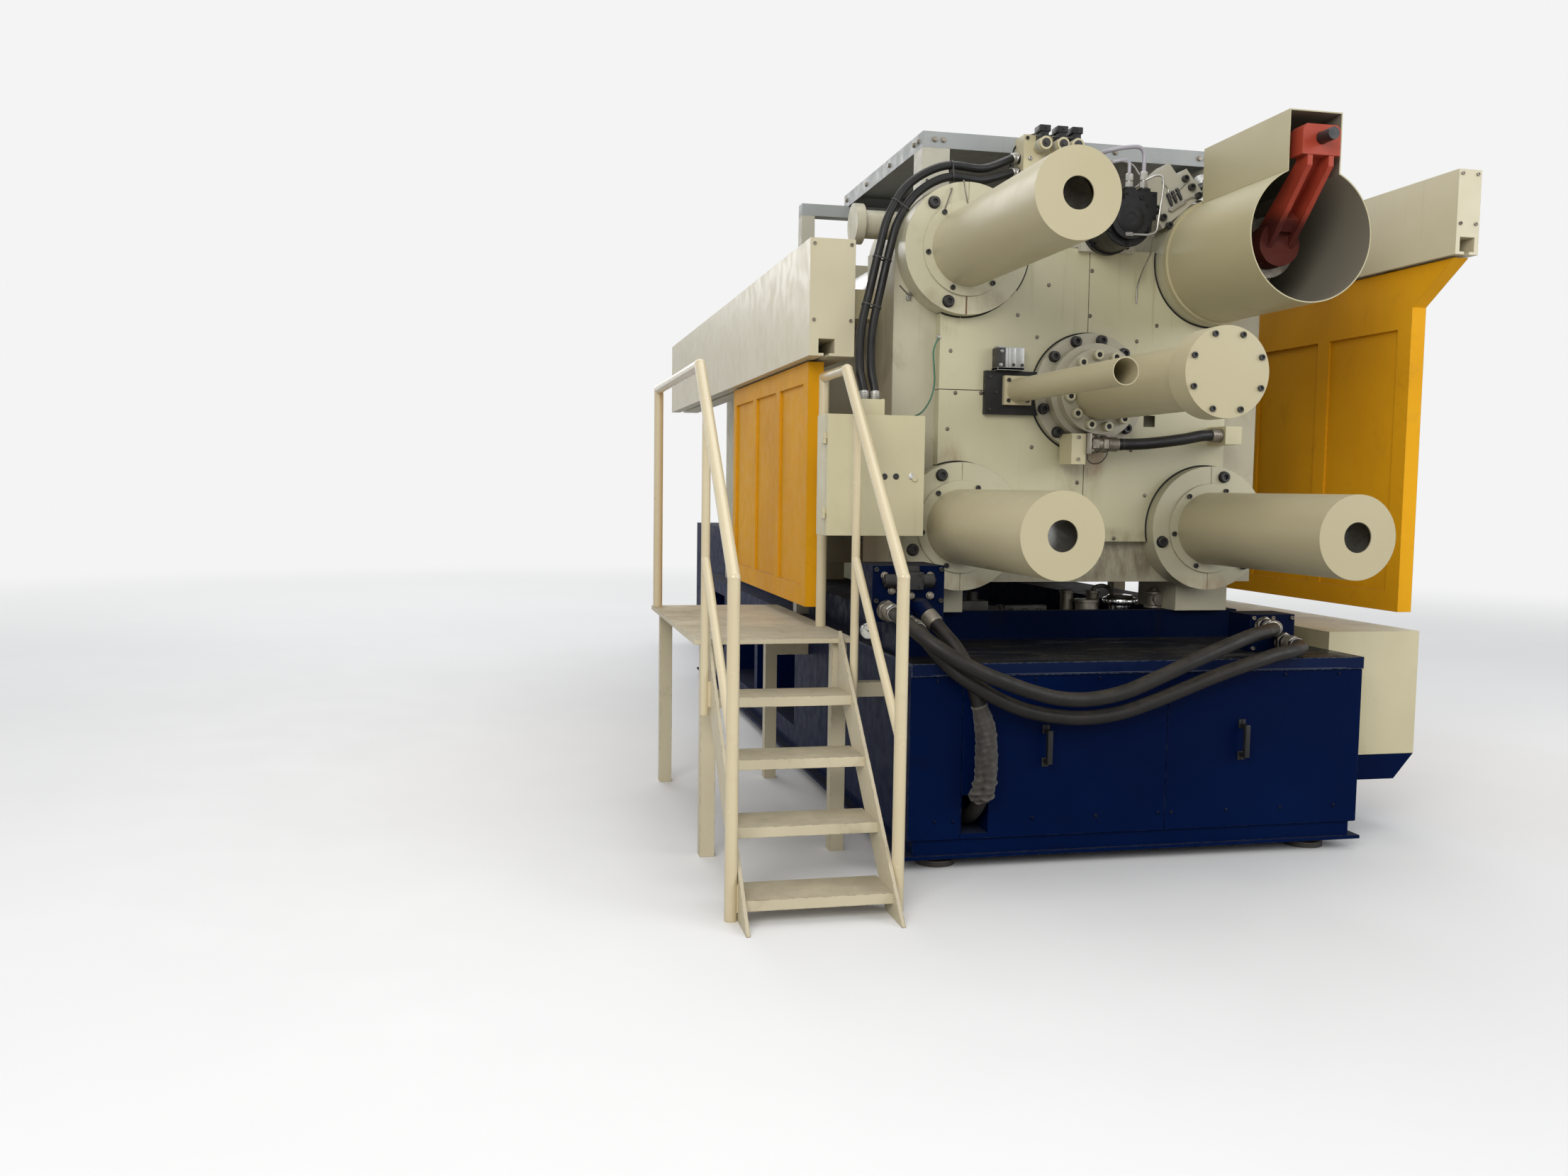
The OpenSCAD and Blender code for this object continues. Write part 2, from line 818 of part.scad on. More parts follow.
module end_platen() color(cream) set_down() {
  difference() {
    union() {
      block(-platen_half, platen_half, casting_y, end_back, end_low, end_top);
      bars_along(casting_y, end_back, boss_d);
      for (s = [-1, 1]) {
        bar_x_dir(trunnion_y, trunnion_z, min(s * trunnion_in, s * trunnion_out),
          max(s * trunnion_in, s * trunnion_out), trunnion_d);
        bar_x_dir(trunnion_y, trunnion_z, min(s * (trunnion_out - eps), s * trunnion_cap_out),
          max(s * (trunnion_out - eps), s * trunnion_cap_out), trunnion_cap_d);
      }
    }
    bars_along(casting_y - 1, end_back + 1, bar_bore_d);
    block(-platen_half, platen_half, casting_y - 1, end_back + 1, 0, end_low);
    bar_y(0, axis_h, casting_y - 1, end_back + 1, clamp_body_d + 2 * seat);
  }
  toggle_lugs(end_back - eps, rear_pivot_y, [[-lug_outer, -lug_inner], [lug_inner, lug_outer]]);
}

module cover_quarter(sx, sz) {
  x0 = sx > 0 ? seam / 2 : -cover_half;
  x1 = sx > 0 ? cover_half : -seam / 2;
  z0 = sz > 0 ? axis_h + seam / 2 : cover_low;
  z1 = sz > 0 ? cover_top : axis_h - seam / 2;
  difference() {
    block(x0, x1, 0, casting_y, z0, z1);
    block(sx > 0 ? x0 - 1 : x0 + sheet_t, sx > 0 ? x1 - sheet_t : x1 + 1, sheet_t, casting_y + 1,
      sz > 0 ? z0 - 1 : z0 + sheet_t, sz > 0 ? z1 - sheet_t : z1 + 1);
    bars_along(-1, casting_y + 1, flange_d + 2 * flange_gap);
    bar_y(0, axis_h, -1, casting_y + 1, hub_d + 2 * flange_gap);
    block(cover_slot[0], cover_slot[1], -1, sheet_t + 1, cover_slot[2], cover_slot[3]);
  }
}

module platen_cover() color(cream) set_down()
  for (sx = [-1, 1]) for (sz = [-1, 1]) cover_quarter(sx, sz);

module platen_shoes() color(steel) set_down() {
  both_sides(shoe_in, shoe_out, casting_y + shoe_set, end_back - shoe_set, bed_top, end_low);
  both_sides(shoe_in, shoe_out, moving_y + shoe_set, die_y - shoe_set, bed_top, moving_low);
}

// Flanges and covers of the tie bars

module bar_flanges() color(cream) set_down() at_bars() difference() {
  union() {
    bar_y(0, 0, -flange_out, casting_y, flange_d);
    bar_y(0, 0, -flange_out - ring_t, -flange_out + eps, ring_d);
  }
  bar_y(0, 0, -flange_out - ring_t - 1, casting_y + 1, bar_bore_d);
  for (s = [-1, 1])
    block(-split_w / 2, split_w / 2, -flange_out - 1, -flange_out + split_w,
      s > 0 ? ring_d / 2 : -flange_d / 2 - 1, s > 0 ? flange_d / 2 + 1 : -ring_d / 2);
}

module bar_cover(x, z, out) difference() {
  bar_y(x, z, -out, -flange_out - ring_t, tube_d);
  bar_y(x, z, -out + tube_wall, -flange_out - ring_t + 1, tube_d - 2 * tube_wall);
  bar_y(x, z, -out - 1, -out + tube_wall + 1, tube_hole_d);
}

module bar_covers() color(cream) set_down() {
  bar_cover(-bar_x, high_bar, upper_tube_out);
  bar_cover(-bar_x, low_bar, lower_tube_out);
  bar_cover(bar_x, low_bar, lower_tube_out);
}

// Puller of the upper right tie bar

module puller_guard() color(cream) set_down() {
  along_y(-guard_out, -flange_out - guard_foot_t + eps) translate([bar_x, high_bar]) difference() {
    circle(d = guard_d);
    circle(d = guard_d - 2 * guard_wall);
    translate([-slot_in, 0]) square([2 * slot_in, guard_d]);
  }
  along_y(-flange_out - guard_foot_t, -flange_out) translate([bar_x, high_bar]) difference() {
    circle(d = guard_foot_d);
    circle(d = guard_d - 2 * guard_wall);
  }
}

module slot_housing() color(cream) set_down() difference() {
  block(bar_x - slot_w / 2, bar_x + slot_w / 2, -guard_out, -slot_back, high_bar, slot_top);
  block(bar_x - slot_in, bar_x + slot_in, -guard_out - 1, -slot_back - guard_wall,
    high_bar - 1, slot_top - guard_wall);
  bar_y(bar_x, high_bar, -guard_out - 1, -slot_back + 1, guard_d + 2 * seat);
  bar_y(bar_x, rod_z, -slot_back - guard_wall - 1, -slot_back + 1, rod_hole_d);
}

// The arm: a head on the pull rod, two sloping ribs joined by a web and a bridge, and a round foot on the bar
rib_front_top = [head_y + 2, head_low - neck_len];
rib_front_low = [-pulled_bar_front - 70, high_bar - 41];

module arm_rib(x)
  along_x(x - rib_t / 2, x + rib_t / 2) polygon([
    [head_y + 2, head_low + eps], [head_back - 2, head_low + eps], [head_back - 2, head_low - neck_len / 3],
    [-pulled_bar_front - 20, high_bar + arm_depth / 2 + 10],
    [-pulled_bar_front, high_bar + arm_depth / 3], [-pulled_bar_front, high_bar - 76],
    [-pulled_bar_front - 50, high_bar - 76], rib_front_low, rib_front_top
  ]);

// Closes the channel between the ribs for a short stretch, set back from their front edges
module arm_bridge() {
  slope = unit(rib_front_low - rib_front_top);
  inward = [-slope.y, slope.x];
  start = rib_front_top + bridge_at * (rib_front_low - rib_front_top) + rib_t * inward;
  along_x(bar_x - rib_x, bar_x + rib_x)
    polygon([start, start + bridge_len * slope, start + bridge_len * slope + bridge_depth * inward,
      start + bridge_depth * inward]);
}

module puller_arm() color(red) set_down() {
  difference() {
    along_y(head_y, head_back) translate([bar_x, head_low]) polygon([
      [-head_w / 2, 0], [head_w / 2, 0], [head_w / 2, head_h - head_chamfer],
      [head_w / 2 - head_chamfer, head_h], [-head_w / 2 + head_chamfer, head_h],
      [-head_w / 2, head_h - head_chamfer]
    ]);
    bar_y(bar_x, rod_z, head_y - 1, head_back + 1, rod_d + 2 * seat);
  }
  for (s = [-1, 1]) arm_rib(bar_x + s * rib_x);
  along_x(bar_x - rib_x, bar_x + rib_x) polygon([
    [head_back - web_t - 2, head_low + eps], [head_back - 2, head_low + eps],
    [-pulled_bar_front - 1, high_bar + arm_depth / 3],
    [-pulled_bar_front - web_t - 1, high_bar + arm_depth / 3]
  ]);
  arm_bridge();
  bar_y(bar_x, high_bar, -pulled_bar_front - foot_t, -pulled_bar_front, foot_d);
}

module pull_rod() color(dark) set_down() {
  bar_y(bar_x, rod_z, head_y - rod_out, piston_y + piston_t, rod_d);
  bar_y(bar_x, rod_z, piston_y, piston_y + piston_t - eps, pull_bore_d - 2 * seat);
  bar_y(bar_x, rod_z, head_back + seat, head_back + collar_t, collar_d);
}

module pull_cylinder() color(steel) set_down() difference() {
  union() {
    bar_y(bar_x, rod_z, pull_cyl_y, pull_cyl_y + pull_cyl_len, pull_cyl_d);
    block(bar_x - pull_cyl_d / 3, bar_x + pull_cyl_d / 3, pull_block[0], pull_block[1], high_bar, rod_z);
  }
  bar_y(bar_x, high_bar, casting_y, end_back, boss_clear_d);
  bar_y(bar_x, rod_z, pull_cyl_y + gland_t, pull_cyl_y + pull_cyl_len - gland_t, pull_bore_d);
  bar_y(bar_x, rod_z, pull_cyl_y - 1, pull_cyl_y + gland_t + 1, rod_d + 2 * seat);
}

module pulled_tie_bar() color(steel) set_down()
  bar_y(bar_x, high_bar, -pulled_bar_front + seat, bar_end, bar_d);

module fixed_tie_bars() color(steel) set_down() {
  bar_y(-bar_x, high_bar, -bar_front, bar_end, bar_d);
  bar_y(-bar_x, low_bar, -bar_front, bar_end, bar_d);
  bar_y(bar_x, low_bar, -bar_front, bar_end, bar_d);
}

module tie_bar_nuts() color(steel) set_down() difference() {
  bars_along(fixed_back, fixed_back + nut_len, nut_d);
  bars_along(fixed_back - 1, fixed_back + nut_len + 1, bar_bore_d);
}

// Clamp cylinder on the centre line

module clamp_hub() color(cream) set_down() {
  bar_y(0, axis_h, -hub_flange_out, casting_y, hub_d);
  bar_y(0, axis_h, -neck_out, -hub_flange_out + eps, neck_d);
  bar_y(0, axis_h, -hub_out, -neck_out + eps, front_hub_d);
}

module clamp_tail() color(cream) set_down() {
  bar_y(0, axis_h, -tail_out, -hub_out, tail_d);
  bar_y(0, axis_h, -tail_out - cap_len, -tail_out + eps, cap_d);
}

module clamp_cylinder() color(steel) set_down() {
  bar_y(0, axis_h, casting_y, clamp_body_end, clamp_body_d);
  bar_y(0, axis_h, clamp_body_end - eps, crosshead_y, clamp_rod_d);
}

module clamp_port_block() color(cream) set_down() {
  difference() {
    block(port_x0, port_x1, port_y0, -hub_flange_out - seat, port_z0, port_z1);
    bar_y(0, axis_h, -hub_out - 1, 0, neck_d + 2 * seat);
  }
  bar_x_dir(clamp_hose[0].y, clamp_hose[0].z, port_x1 - eps, clamp_hose[0].x - seat, adaptor_d);
  hose_end = clamp_hose[len(clamp_hose) - 1];
  block(hose_end.x + seat, hose_end.x + end_port_w, hose_end.y - end_port_half, 0,
    hose_end.z - end_port_half, hose_end.z + end_port_half);
}

// Safety ratchet

module ratchet_plate() color(dark) set_down() difference() {
  block(-ratchet_x - ratchet_plate_out, -hub_d / 2 + 60, -ratchet_plate_t, 0,
    ratchet_plate_z0, ratchet_plate_z1);
  bar_y(0, axis_h, -ratchet_plate_t - 1, 1, hub_d + 2 * seat);
}

module ratchet_tube() color(cream) set_down() {
  y = -ratchet_plate_t - ratchet_pad_t;
  block(-ratchet_x - ratchet_pad / 2, -ratchet_x + ratchet_pad / 2, y, -ratchet_plate_t,
    axis_h - ratchet_pad / 2, axis_h + ratchet_pad / 2);
  difference() {
    bar_y(-ratchet_x, axis_h, -ratchet_out, y + eps, ratchet_d);
    bar_y(-ratchet_x, axis_h, -ratchet_out - 1, y, ratchet_d - 2 * ratchet_wall);
  }
}

module latch_cylinder() color(alloy) set_down() {
  foot_top = latch_z + latch_foot_t;
  block(latch_x, latch_x + latch_w, -latch_depth, 0, latch_z, foot_top);
  block(latch_x + latch_w - latch_body_w, latch_x + latch_w - 3, -latch_depth + 4, -6,
    foot_top - eps, foot_top + latch_body_h);
  block(latch_x + 4, latch_x + latch_w - latch_body_w - 6, -latch_depth + 10, -10,
    foot_top - eps, foot_top + latch_body_h + 4);
}

// Die height motor and hydraulics on the end platen

module height_motor() color(dark) set_down() {
  bar_y(motor_x, motor_z, -motor_flange_out, -motor_plate_t, motor_flange_d);
  bar_y(motor_x, motor_z, -motor_body_out, -motor_flange_out + eps, motor_body_d);
  bar_y(motor_x, motor_z, -motor_end_out, -motor_body_out + eps, motor_end_d);
  block(valve_body_x, valve_body_x + valve_body_w, valve_body_front, -110, valve_body_low, valve_body_top);
  block(motor_x + valve_foot[0], motor_x + valve_foot[1], valve_body_front, -150,
    valve_body_low - valve_foot[2], valve_body_low + eps);
  for (x = port_xs)
    block(x - port_w / 2, x + port_w / 2, port_y - port_w / 2, port_y + port_w / 2,
      valve_body_top - eps, valve_body_top + port_h);
}

module motor_shelf() color(cream) set_down() {
  block(shelf_x0, shelf_x1, -motor_plate_t + seat, -seat, shelf_low, motor_z + shelf_rise);
  block(shelf_x0, shelf_x1, -motor_plate_t + seat, motor_plate_back, end_top, end_top + shelf_top_t);
}

module valve_manifold() color(cream) set_down() {
  port_z = manifold_z + valve_rise;
  block(manifold_x0, manifold_x1, manifold_y0, manifold_y1, manifold_z, manifold_top);
  block(manifold_x0 + 15, manifold_x1 - 30, manifold_y0 + 50, manifold_y1 - 20, end_top, manifold_z + eps);
  for (x = valve_xs) {
    bar_y(x, port_z, manifold_y0 - valve_out, manifold_y0 + eps, valve_d);
    block(x - connector_half, x + connector_half, manifold_y0 - valve_out + 16, manifold_y0 + eps,
      port_z, port_z + connector_h);
  }
}

module bar_lock_block() color(cream) set_down()
  translate([bar_x, 0, high_bar]) rotate([0, -lock_turn, 0]) along_y(-flange_out + 10, casting_y)
    translate([0, flange_d / 2 + seat]) {
      translate([-lock_half, 0]) square([2 * lock_half, lock_depth]);
      translate([-lock_body_half, 0]) square([2 * lock_body_half, lock_body_depth]);
    }

// Toggle linkage

module link(x0, x1, a, b, width, eye) {
  v = b - a;
  along_x(x0, x1) translate(a) rotate(atan2(v.y, v.x)) {
    translate([0, -width / 2]) square([norm(v), width]);
    circle(d = eye);
    translate([norm(v), 0]) circle(d = eye);
  }
}

module toggle_side(x, side) {
  rear = [rear_pivot_y, axis_h + side * pivot_rise];
  knee = [rear_pivot_y + knee_run, axis_h + side * knee_rise];
  front = [front_pivot_y, axis_h + side * pivot_rise];
  small_a = rear + small_pin_at * (knee - rear);
  small_b = [crosshead_y + crosshead_t / 2, axis_h + side * (crosshead_half_h - 45)];
  out = x > 0 ? 1 : -1;
  link(x - link_half, x + link_half, rear, knee, link_w, link_eye);
  for (h = [-1, 1])
    link(x + min(h * lug_inner, h * (lug_outer - 10)), x + max(h * lug_inner, h * (lug_outer - 10)),
      knee, front, link_w, link_eye);
  for (p = [rear, knee, front]) bar_x_dir(p.x, p.y, x - lug_outer - 6, x + lug_outer + 6, pin_d);
  small_x0 = min(x + out * lug_inner, x + out * (lug_inner + small_link_t));
  link(small_x0, small_x0 + small_link_t, small_a, small_b, small_link_w, small_link_w + 10);
  for (p = [small_a, small_b])
    bar_x_dir(p.x, p.y, min(x, x + out * (lug_inner + small_link_t + 10)),
      max(x, x + out * (lug_inner + small_link_t + 10)), small_pin_d);
}

module toggle_linkage() color(steel) set_down() {
  for (x = [-toggle_x, toggle_x]) for (side = [-1, 1]) toggle_side(x, side);
  block(-crosshead_half_w, crosshead_half_w, crosshead_y, crosshead_y + crosshead_t,
    axis_h - crosshead_half_h, axis_h + crosshead_half_h);
}

module die_slots(y0, y1, z0, z1)
  for (x = slot_xs) block(x - slot_half, x + slot_half, y0, y1, z0, z1);

module moving_platen() color(cream) set_down() {
  difference() {
    block(-platen_half, platen_half, moving_y, die_y, moving_low, platen_top);
    bars_along(moving_y - 1, die_y + 1, bar_bore_d);
    die_slots(die_y - slot_depth, die_y + 1, moving_low - 1, platen_top + 1);
  }
  toggle_lugs(moving_y + eps, front_pivot_y, [[-link_half, link_half]]);
}

module fixed_platen() color(cream) set_down() difference() {
  block(-platen_half, platen_half, fixed_y, fixed_back, deck_low, platen_top);
  bars_along(fixed_y - 1, fixed_back + 1, bar_bore_d);
  bar_y(0, shot_z, fixed_y - 1, fixed_back + 1, sleeve_d + 2 * seat);
  die_slots(fixed_y - 1, fixed_y + slot_depth, deck_low - 1, platen_top + 1);
}

// Shot end

module injection_frame() color(cream) set_down() {
  both_sides(arm_in, arm_out, fixed_back, frame_end - shot_plate_t + eps, shot_z - arm_half_h,
    shot_z + arm_half_h);
  difference() {
    block(-arm_out, arm_out, frame_end - shot_plate_t, frame_end, rear_base_top, shot_plate_top);
    bar_y(0, shot_z, frame_end - shot_plate_t - 1, frame_end + 1, plunger_d + 2 * seat);
  }
}

module shot_sleeve() color(steel) set_down() difference() {
  bar_y(0, shot_z, fixed_y, sleeve_end, sleeve_d);
  bar_y(0, shot_z, fixed_y - 1, sleeve_end + 1, sleeve_bore_d);
  block(-pour_half, pour_half, pour_ys[0], pour_ys[1], shot_z, shot_z + sleeve_d);
}

module shot_cylinder() color(navy) set_down() {
  bar_y(0, shot_z, frame_end, frame_end + shot_flange_t, shot_flange_d);
  bar_y(0, shot_z, frame_end + shot_flange_t - eps, shot_end, shot_d);
  bar_y(0, shot_z, shot_end - shot_flange_t, shot_end - eps, shot_flange_d - 30);
  bar_y(0, shot_z, sleeve_end - tip_in, frame_end + eps, plunger_d);
  bar_y(0, shot_z, sleeve_end - tip_in - tip_len, sleeve_end - tip_in + eps, sleeve_bore_d - 2 * seat);
}

module accumulators() color(navy) set_down()
  for (y = bottle_ys) {
    bar_z(bottle_x, y, rear_base_top, rear_base_top + bottle_len - bottle_d / 2, bottle_d);
    translate([bottle_x, y, rear_base_top + bottle_len - bottle_d / 2]) sphere(d = bottle_d - 1);
  }

module injection_base() color(navy) set_down() difference() {
  union() {
    block(-rear_base_half, rear_base_half, bed_end, rear_edge, skid_top, rear_base_top);
    for (y = saddle_ys)
      block(-saddle_half, saddle_half, y, y + saddle_t, rear_base_top - eps, shot_z - 60);
  }
  bar_y(0, shot_z, frame_end, shot_end, shot_d + 2 * seat);
}

// Roof over the toggles

module roof_sheet() color(cream) set_down() {
  difference() {
    block(-roof_half, roof_half, roof_front, roof_end, roof_top - roof_rim, roof_top);
    block(-roof_half + sheet_t, roof_half - sheet_t, roof_front + sheet_t, roof_end - sheet_t,
      roof_top - roof_rim - 1, roof_top - sheet_t);
  }
  block(-column_out, column_out, roof_end - column_t, roof_end, roof_top - roof_rim - cross_beam_h,
    roof_top - roof_rim + 2);
}

module roof_posts() color(cream) set_down() {
  difference() {
    for (edges = [[-roof_half, -roof_half + post_w], [right_post_x, roof_half]])
      block(edges[0], edges[1], roof_front, post_y1, high_bar + 100, roof_top - roof_rim);
    bars_along(casting_y, end_back, boss_clear_d);
  }
  both_sides(column_in, column_out, roof_end - column_t, roof_end, deck_low,
    roof_top - roof_rim - cross_beam_h);
}

// Rail beams and sliding doors

module beam_profile(x0, x1, z0, z1, slit_x) difference() {
  translate([x0, z0]) square([x1 - x0, z1 - z0]);
  translate([slit_x - channel_w / 2, z0 + lip_floor]) square([channel_w, channel_h]);
  translate([slit_x - slit_w / 2, z0 - 1]) square([slit_w, lip_floor + 2]);
}

module rail_beams() color(cream) set_down() {
  along_y(-right_beam_out, beam_end)
    beam_profile(right_beam_x, right_edge, right_beam_low, right_beam_low + right_beam_h, right_door_x);
  along_y(0, beam_end)
    beam_profile(-left_beam_x - left_beam_w, -left_beam_x, left_beam_low, left_beam_top, left_door_x);
}

module beam_brackets() color(cream) set_down() difference() {
  for (y = bracket_ys) {
    block(bar_x + 150, right_beam_x, y, y + bracket_len, right_beam_low + right_bracket_up,
      right_beam_low + right_bracket_up + bracket_h);
    block(-left_beam_x, -platen_half, y, y + bracket_len, left_beam_low + left_bracket_up,
      left_beam_low + left_bracket_up + bracket_h);
  }
  block(0, platen_half, fixed_y, fixed_back, deck_low, platen_top);
  bar_y(bar_x, high_bar, casting_y, end_back, boss_clear_d);
}

module hanger(x, y, z) {
  wheel_z = z + lip_floor + seat + wheel_d / 2;
  block(x - stem_w / 2, x + stem_w / 2, y - stem_half, y + stem_half, z - door_gap - eps, wheel_z + 6);
  bar_x_dir(y, wheel_z, x - stem_w / 2 - wheel_t, x + stem_w / 2 + wheel_t, wheel_d);
}

module sliding_door(x, y0, z1, nose, drop) {
  bay = (door_len - door_frame) / door_bays;
  difference() {
    along_x(x - door_t / 2, x + door_t / 2)
      polygon(concat([[y0, door_low], [y0 + door_len, door_low], [y0 + door_len, z1]],
        nose > 0 ? [[y0 - nose, z1], [y0, z1 - drop]] : [[y0, z1]]));
    for (s = [-1, 1]) for (i = [0 : door_bays - 1])
      translate([x + s * door_t / 2 - door_pocket, y0 + door_frame + i * bay, door_low + door_frame])
        cube([2 * door_pocket, bay - door_frame, z1 - drop - door_low - 2 * door_frame]);
  }
  for (y = [y0 + hanger_in, y0 + door_len - hanger_in]) hanger(x, y, z1 + door_gap);
}

module right_door() color(yellow) set_down()
  sliding_door(right_door_x, right_door_front, right_beam_low - door_gap, right_nose, right_nose_drop);

module left_door() color(yellow) set_down()
  sliding_door(left_door_x, left_door_front, left_beam_low - door_gap, 0, 0);

// Side cabinet with its hinged door

module side_cabinet() color(cream) set_down() {
  difference() {
    block(cabinet_left, -cabinet_x, cabinet_front, cabinet_back, cabinet_low, cabinet_top);
    block(cabinet_left + case_t, -cabinet_x - case_t, cabinet_front - 1, cabinet_back - case_t,
      cabinet_low + case_t, cabinet_top - case_t);
  }
  block(-platen_half - 60, -platen_half, cabinet_back - eps, casting_y + cabinet_arm_len,
    cabinet_low + cabinet_arm_low, cabinet_low + cabinet_arm_low + cabinet_arm_h);
  block(gland_x0, gland_x1, gland_y0, gland_y1, cabinet_top - eps, gland_top);
  for (z = hinge_zs) {
    top = z + leaf_h;
    bar_z(hinge_x, hinge_y, z, top, knuckle_d);
    block(hinge_x - knuckle_d / 2, cabinet_left - 3, hinge_y, cabinet_front + 30, z, top);
    block(hinge_x - knuckle_d / 2, cabinet_left + 2, cabinet_front + 10, cabinet_front + 30, z, top);
    bar_z(hinge_x, hinge_y, top - eps, top + knuckle_h, hinge_d);
  }
}

module cabinet_door() color(cream) set_down() {
  y1 = -cabinet_out + cabinet_door_t;
  block(cabinet_left, -cabinet_x, -cabinet_out, y1, cabinet_low, cabinet_top);
  difference() {
    for (z = hinge_zs) {
      bar_z(hinge_x, hinge_y, z + leaf_h + seat, z + leaf_h + knuckle_h, knuckle_d);
      block(hinge_x, cabinet_left + 2, hinge_y - 6, hinge_y + 6, z + leaf_h + seat, z + leaf_h + knuckle_h);
    }
    for (z = hinge_zs) bar_z(hinge_x, hinge_y, z, z + 60, hinge_d + 2 * seat);
  }
  bar_y(-cabinet_x - lock_in, cabinet_low + lock_z, -cabinet_out - 8, -cabinet_out + eps, lock_d);
}

// Ladder, platform and handrails

module stringer(x0)
  along_x(x0, x0 + stringer_t) polygon([
    [-platform_out, platform_h - stringer_drop], [-platform_out, platform_h + stringer_up],
    [front_edge, 0], [-platform_out - platform_h + stringer_drop, 0]
  ]);

module ladder() color(cream) set_down() {
  x0 = -ladder_left + stringer_set;
  x1 = -rail_x - stringer_set;
  stringer(x0);
  stringer(x1 - stringer_t);
  for (i = [1 : tread_count])
    block(x0 + stringer_t - eps, x1 - stringer_t + eps, -platform_out - i * rise - 10,
      -platform_out - i * rise - 10 + tread_len, platform_h - i * rise - tread_t, platform_h - i * rise);
}

module platform() color(cream) set_down() {
  block(left_edge, -platform_right, -platform_out, -platform_out + platform_len,
    platform_h - platform_t, platform_h);
  for (y = leg_ys) {
    for (x = [-ladder_left + 10, -rail_x - 50])
      block(x, x + leg_w, y, y + leg_w, 0, platform_h - platform_t + eps);
    block(-rail_x + 10 - eps, -base_half, y, y + leg_w, brace_z0, brace_z0 + leg_w);
  }
}

// A handrail in one plane: foot post, slope along the steps, level part over the platform, end post
module handrail(x, inward, end_y) {
  z_low = lower_bend_z - mid_drop;
  top_post_z = lower_bend_z + (post_top_y - post_foot_y) * rail_slope;
  rail_path([[x, post_foot_y, 0], [x, post_foot_y, lower_bend_z], [x, rail_bend_y, rail_top_z],
    [x, end_y, rail_top_z], [x, end_y, platform_h]], rail_d, ball_d);
  rod_between([x, post_foot_y, z_low], [x, post_top_y, top_post_z - mid_drop], mid_d);
  rod_between([x, post_top_y, platform_h - post_drop], [x, post_top_y, top_post_z], mid_d);
  x_in = x + inward * stringer_set;
  for (tab = [[post_foot_y, tab_zs[0]], [post_top_y, tab_zs[1]]])
    block(min(x, x_in), max(x, x_in), tab[0] - 12, tab[0] + 12, tab[1], tab[1] + tab_h);
}

module handrails() color(cream) set_down() {
  handrail(-rail_x, -1, right_rail_end);
  handrail(-ladder_left, 1, left_rail_end);
}

// Oil pan beside the base, valve stand and hoses

module side_tank() color(navy) set_down()
  along_y(pan_y0, pan_y1) polygon([
    [base_half, pan_low], [pan_x1 - pan_taper, pan_low], [pan_x1, pan_seam], [base_half, pan_seam]
  ]);

module side_tank_cover() color(cream) set_down()
  block(base_half, pan_x1, pan_y0, pan_y1, pan_seam, pan_top);

module hose_fitting(end, face) bar_y(end.x, end.z, end.y + seat, face + eps, fitting_d);

module valve_stand() color(navy) set_down() {
  block(stand_x0, stand_x1, stand_face, stand_back, deck_top, stand_top + eps);
  block(valve_x0, valve_x1, valve_face, stand_back - 20, stand_top, valve_top);
  hose_fitting(upper_hose[0], valve_face);
  hose_fitting(lower_hose[0], stand_face);
  start = sleeved_hose_path[0];
  run = unit(sleeved_hose_path[1] - start);
  rail_path([[start.x - elbow_len * run.x, valve_face + eps, start.z - elbow_len * run.z],
    start - elbow_len * run, start - seat * run], fitting_d, fitting_d + 2);
  bar_y(gauge_x, gauge_z, valve_face + 12, valve_face + 40, gauge_d);
  bar_z(gauge_x + 16, valve_face + 26, gauge_z, stand_top + eps, 16);
  block(return_x0, return_x1, stand_face, return_back, deck_top, return_top);
  hose_fitting(upper_hose[len(upper_hose) - 1], stand_face);
  hose_fitting(lower_hose[len(lower_hose) - 1], stand_face);
}

module upper_supply_hose() color(dark) set_down() hose(upper_hose, supply_d, [1, 0, 0]);

module lower_supply_hose() color(dark) set_down() hose(lower_hose, supply_d, [1, 0, 0]);

module sleeved_hose() color(grey) set_down() hose(sleeved_hose_path, sleeved_hose_ds, [1, 0, 0]);

module clamp_supply_hose() color(dark) set_down() hose(clamp_hose, clamp_hose_d, [0, 0, 1]);

module side_hoses() color(dark) set_down() {
  hose(side_hose_1, side_hose_d, [0, 0, 1]);
  hose(side_hose_2, side_hose_d, [0, 0, 1]);
}

base_tank();
front_panels();
deck_plate();
skid_frame();
levelling_pads();
main_bed();
bed_rails();
end_platen();
platen_cover();
platen_shoes();
bar_flanges();
bar_covers();
puller_guard();
slot_housing();
puller_arm();
pull_rod();
pull_cylinder();
pulled_tie_bar();
fixed_tie_bars();
tie_bar_nuts();
clamp_hub();
clamp_tail();
clamp_cylinder();
clamp_port_block();
ratchet_plate();
ratchet_tube();
latch_cylinder();
height_motor();
motor_shelf();
valve_manifold();
bar_lock_block();
toggle_linkage();
moving_platen();
fixed_platen();
injection_frame();
shot_sleeve();
shot_cylinder();
accumulators();
injection_base();
roof_sheet();
roof_posts();
rail_beams();
beam_brackets();
right_door();
left_door();
side_cabinet();
cabinet_door();
ladder();
platform();
handrails();
side_tank();
side_tank_cover();
valve_stand();
upper_supply_hose();
lower_supply_hose();
sleeved_hose();
clamp_supply_hose();
side_hoses();
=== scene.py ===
import bpy
import bmesh
import math
from mathutils import Vector, Matrix


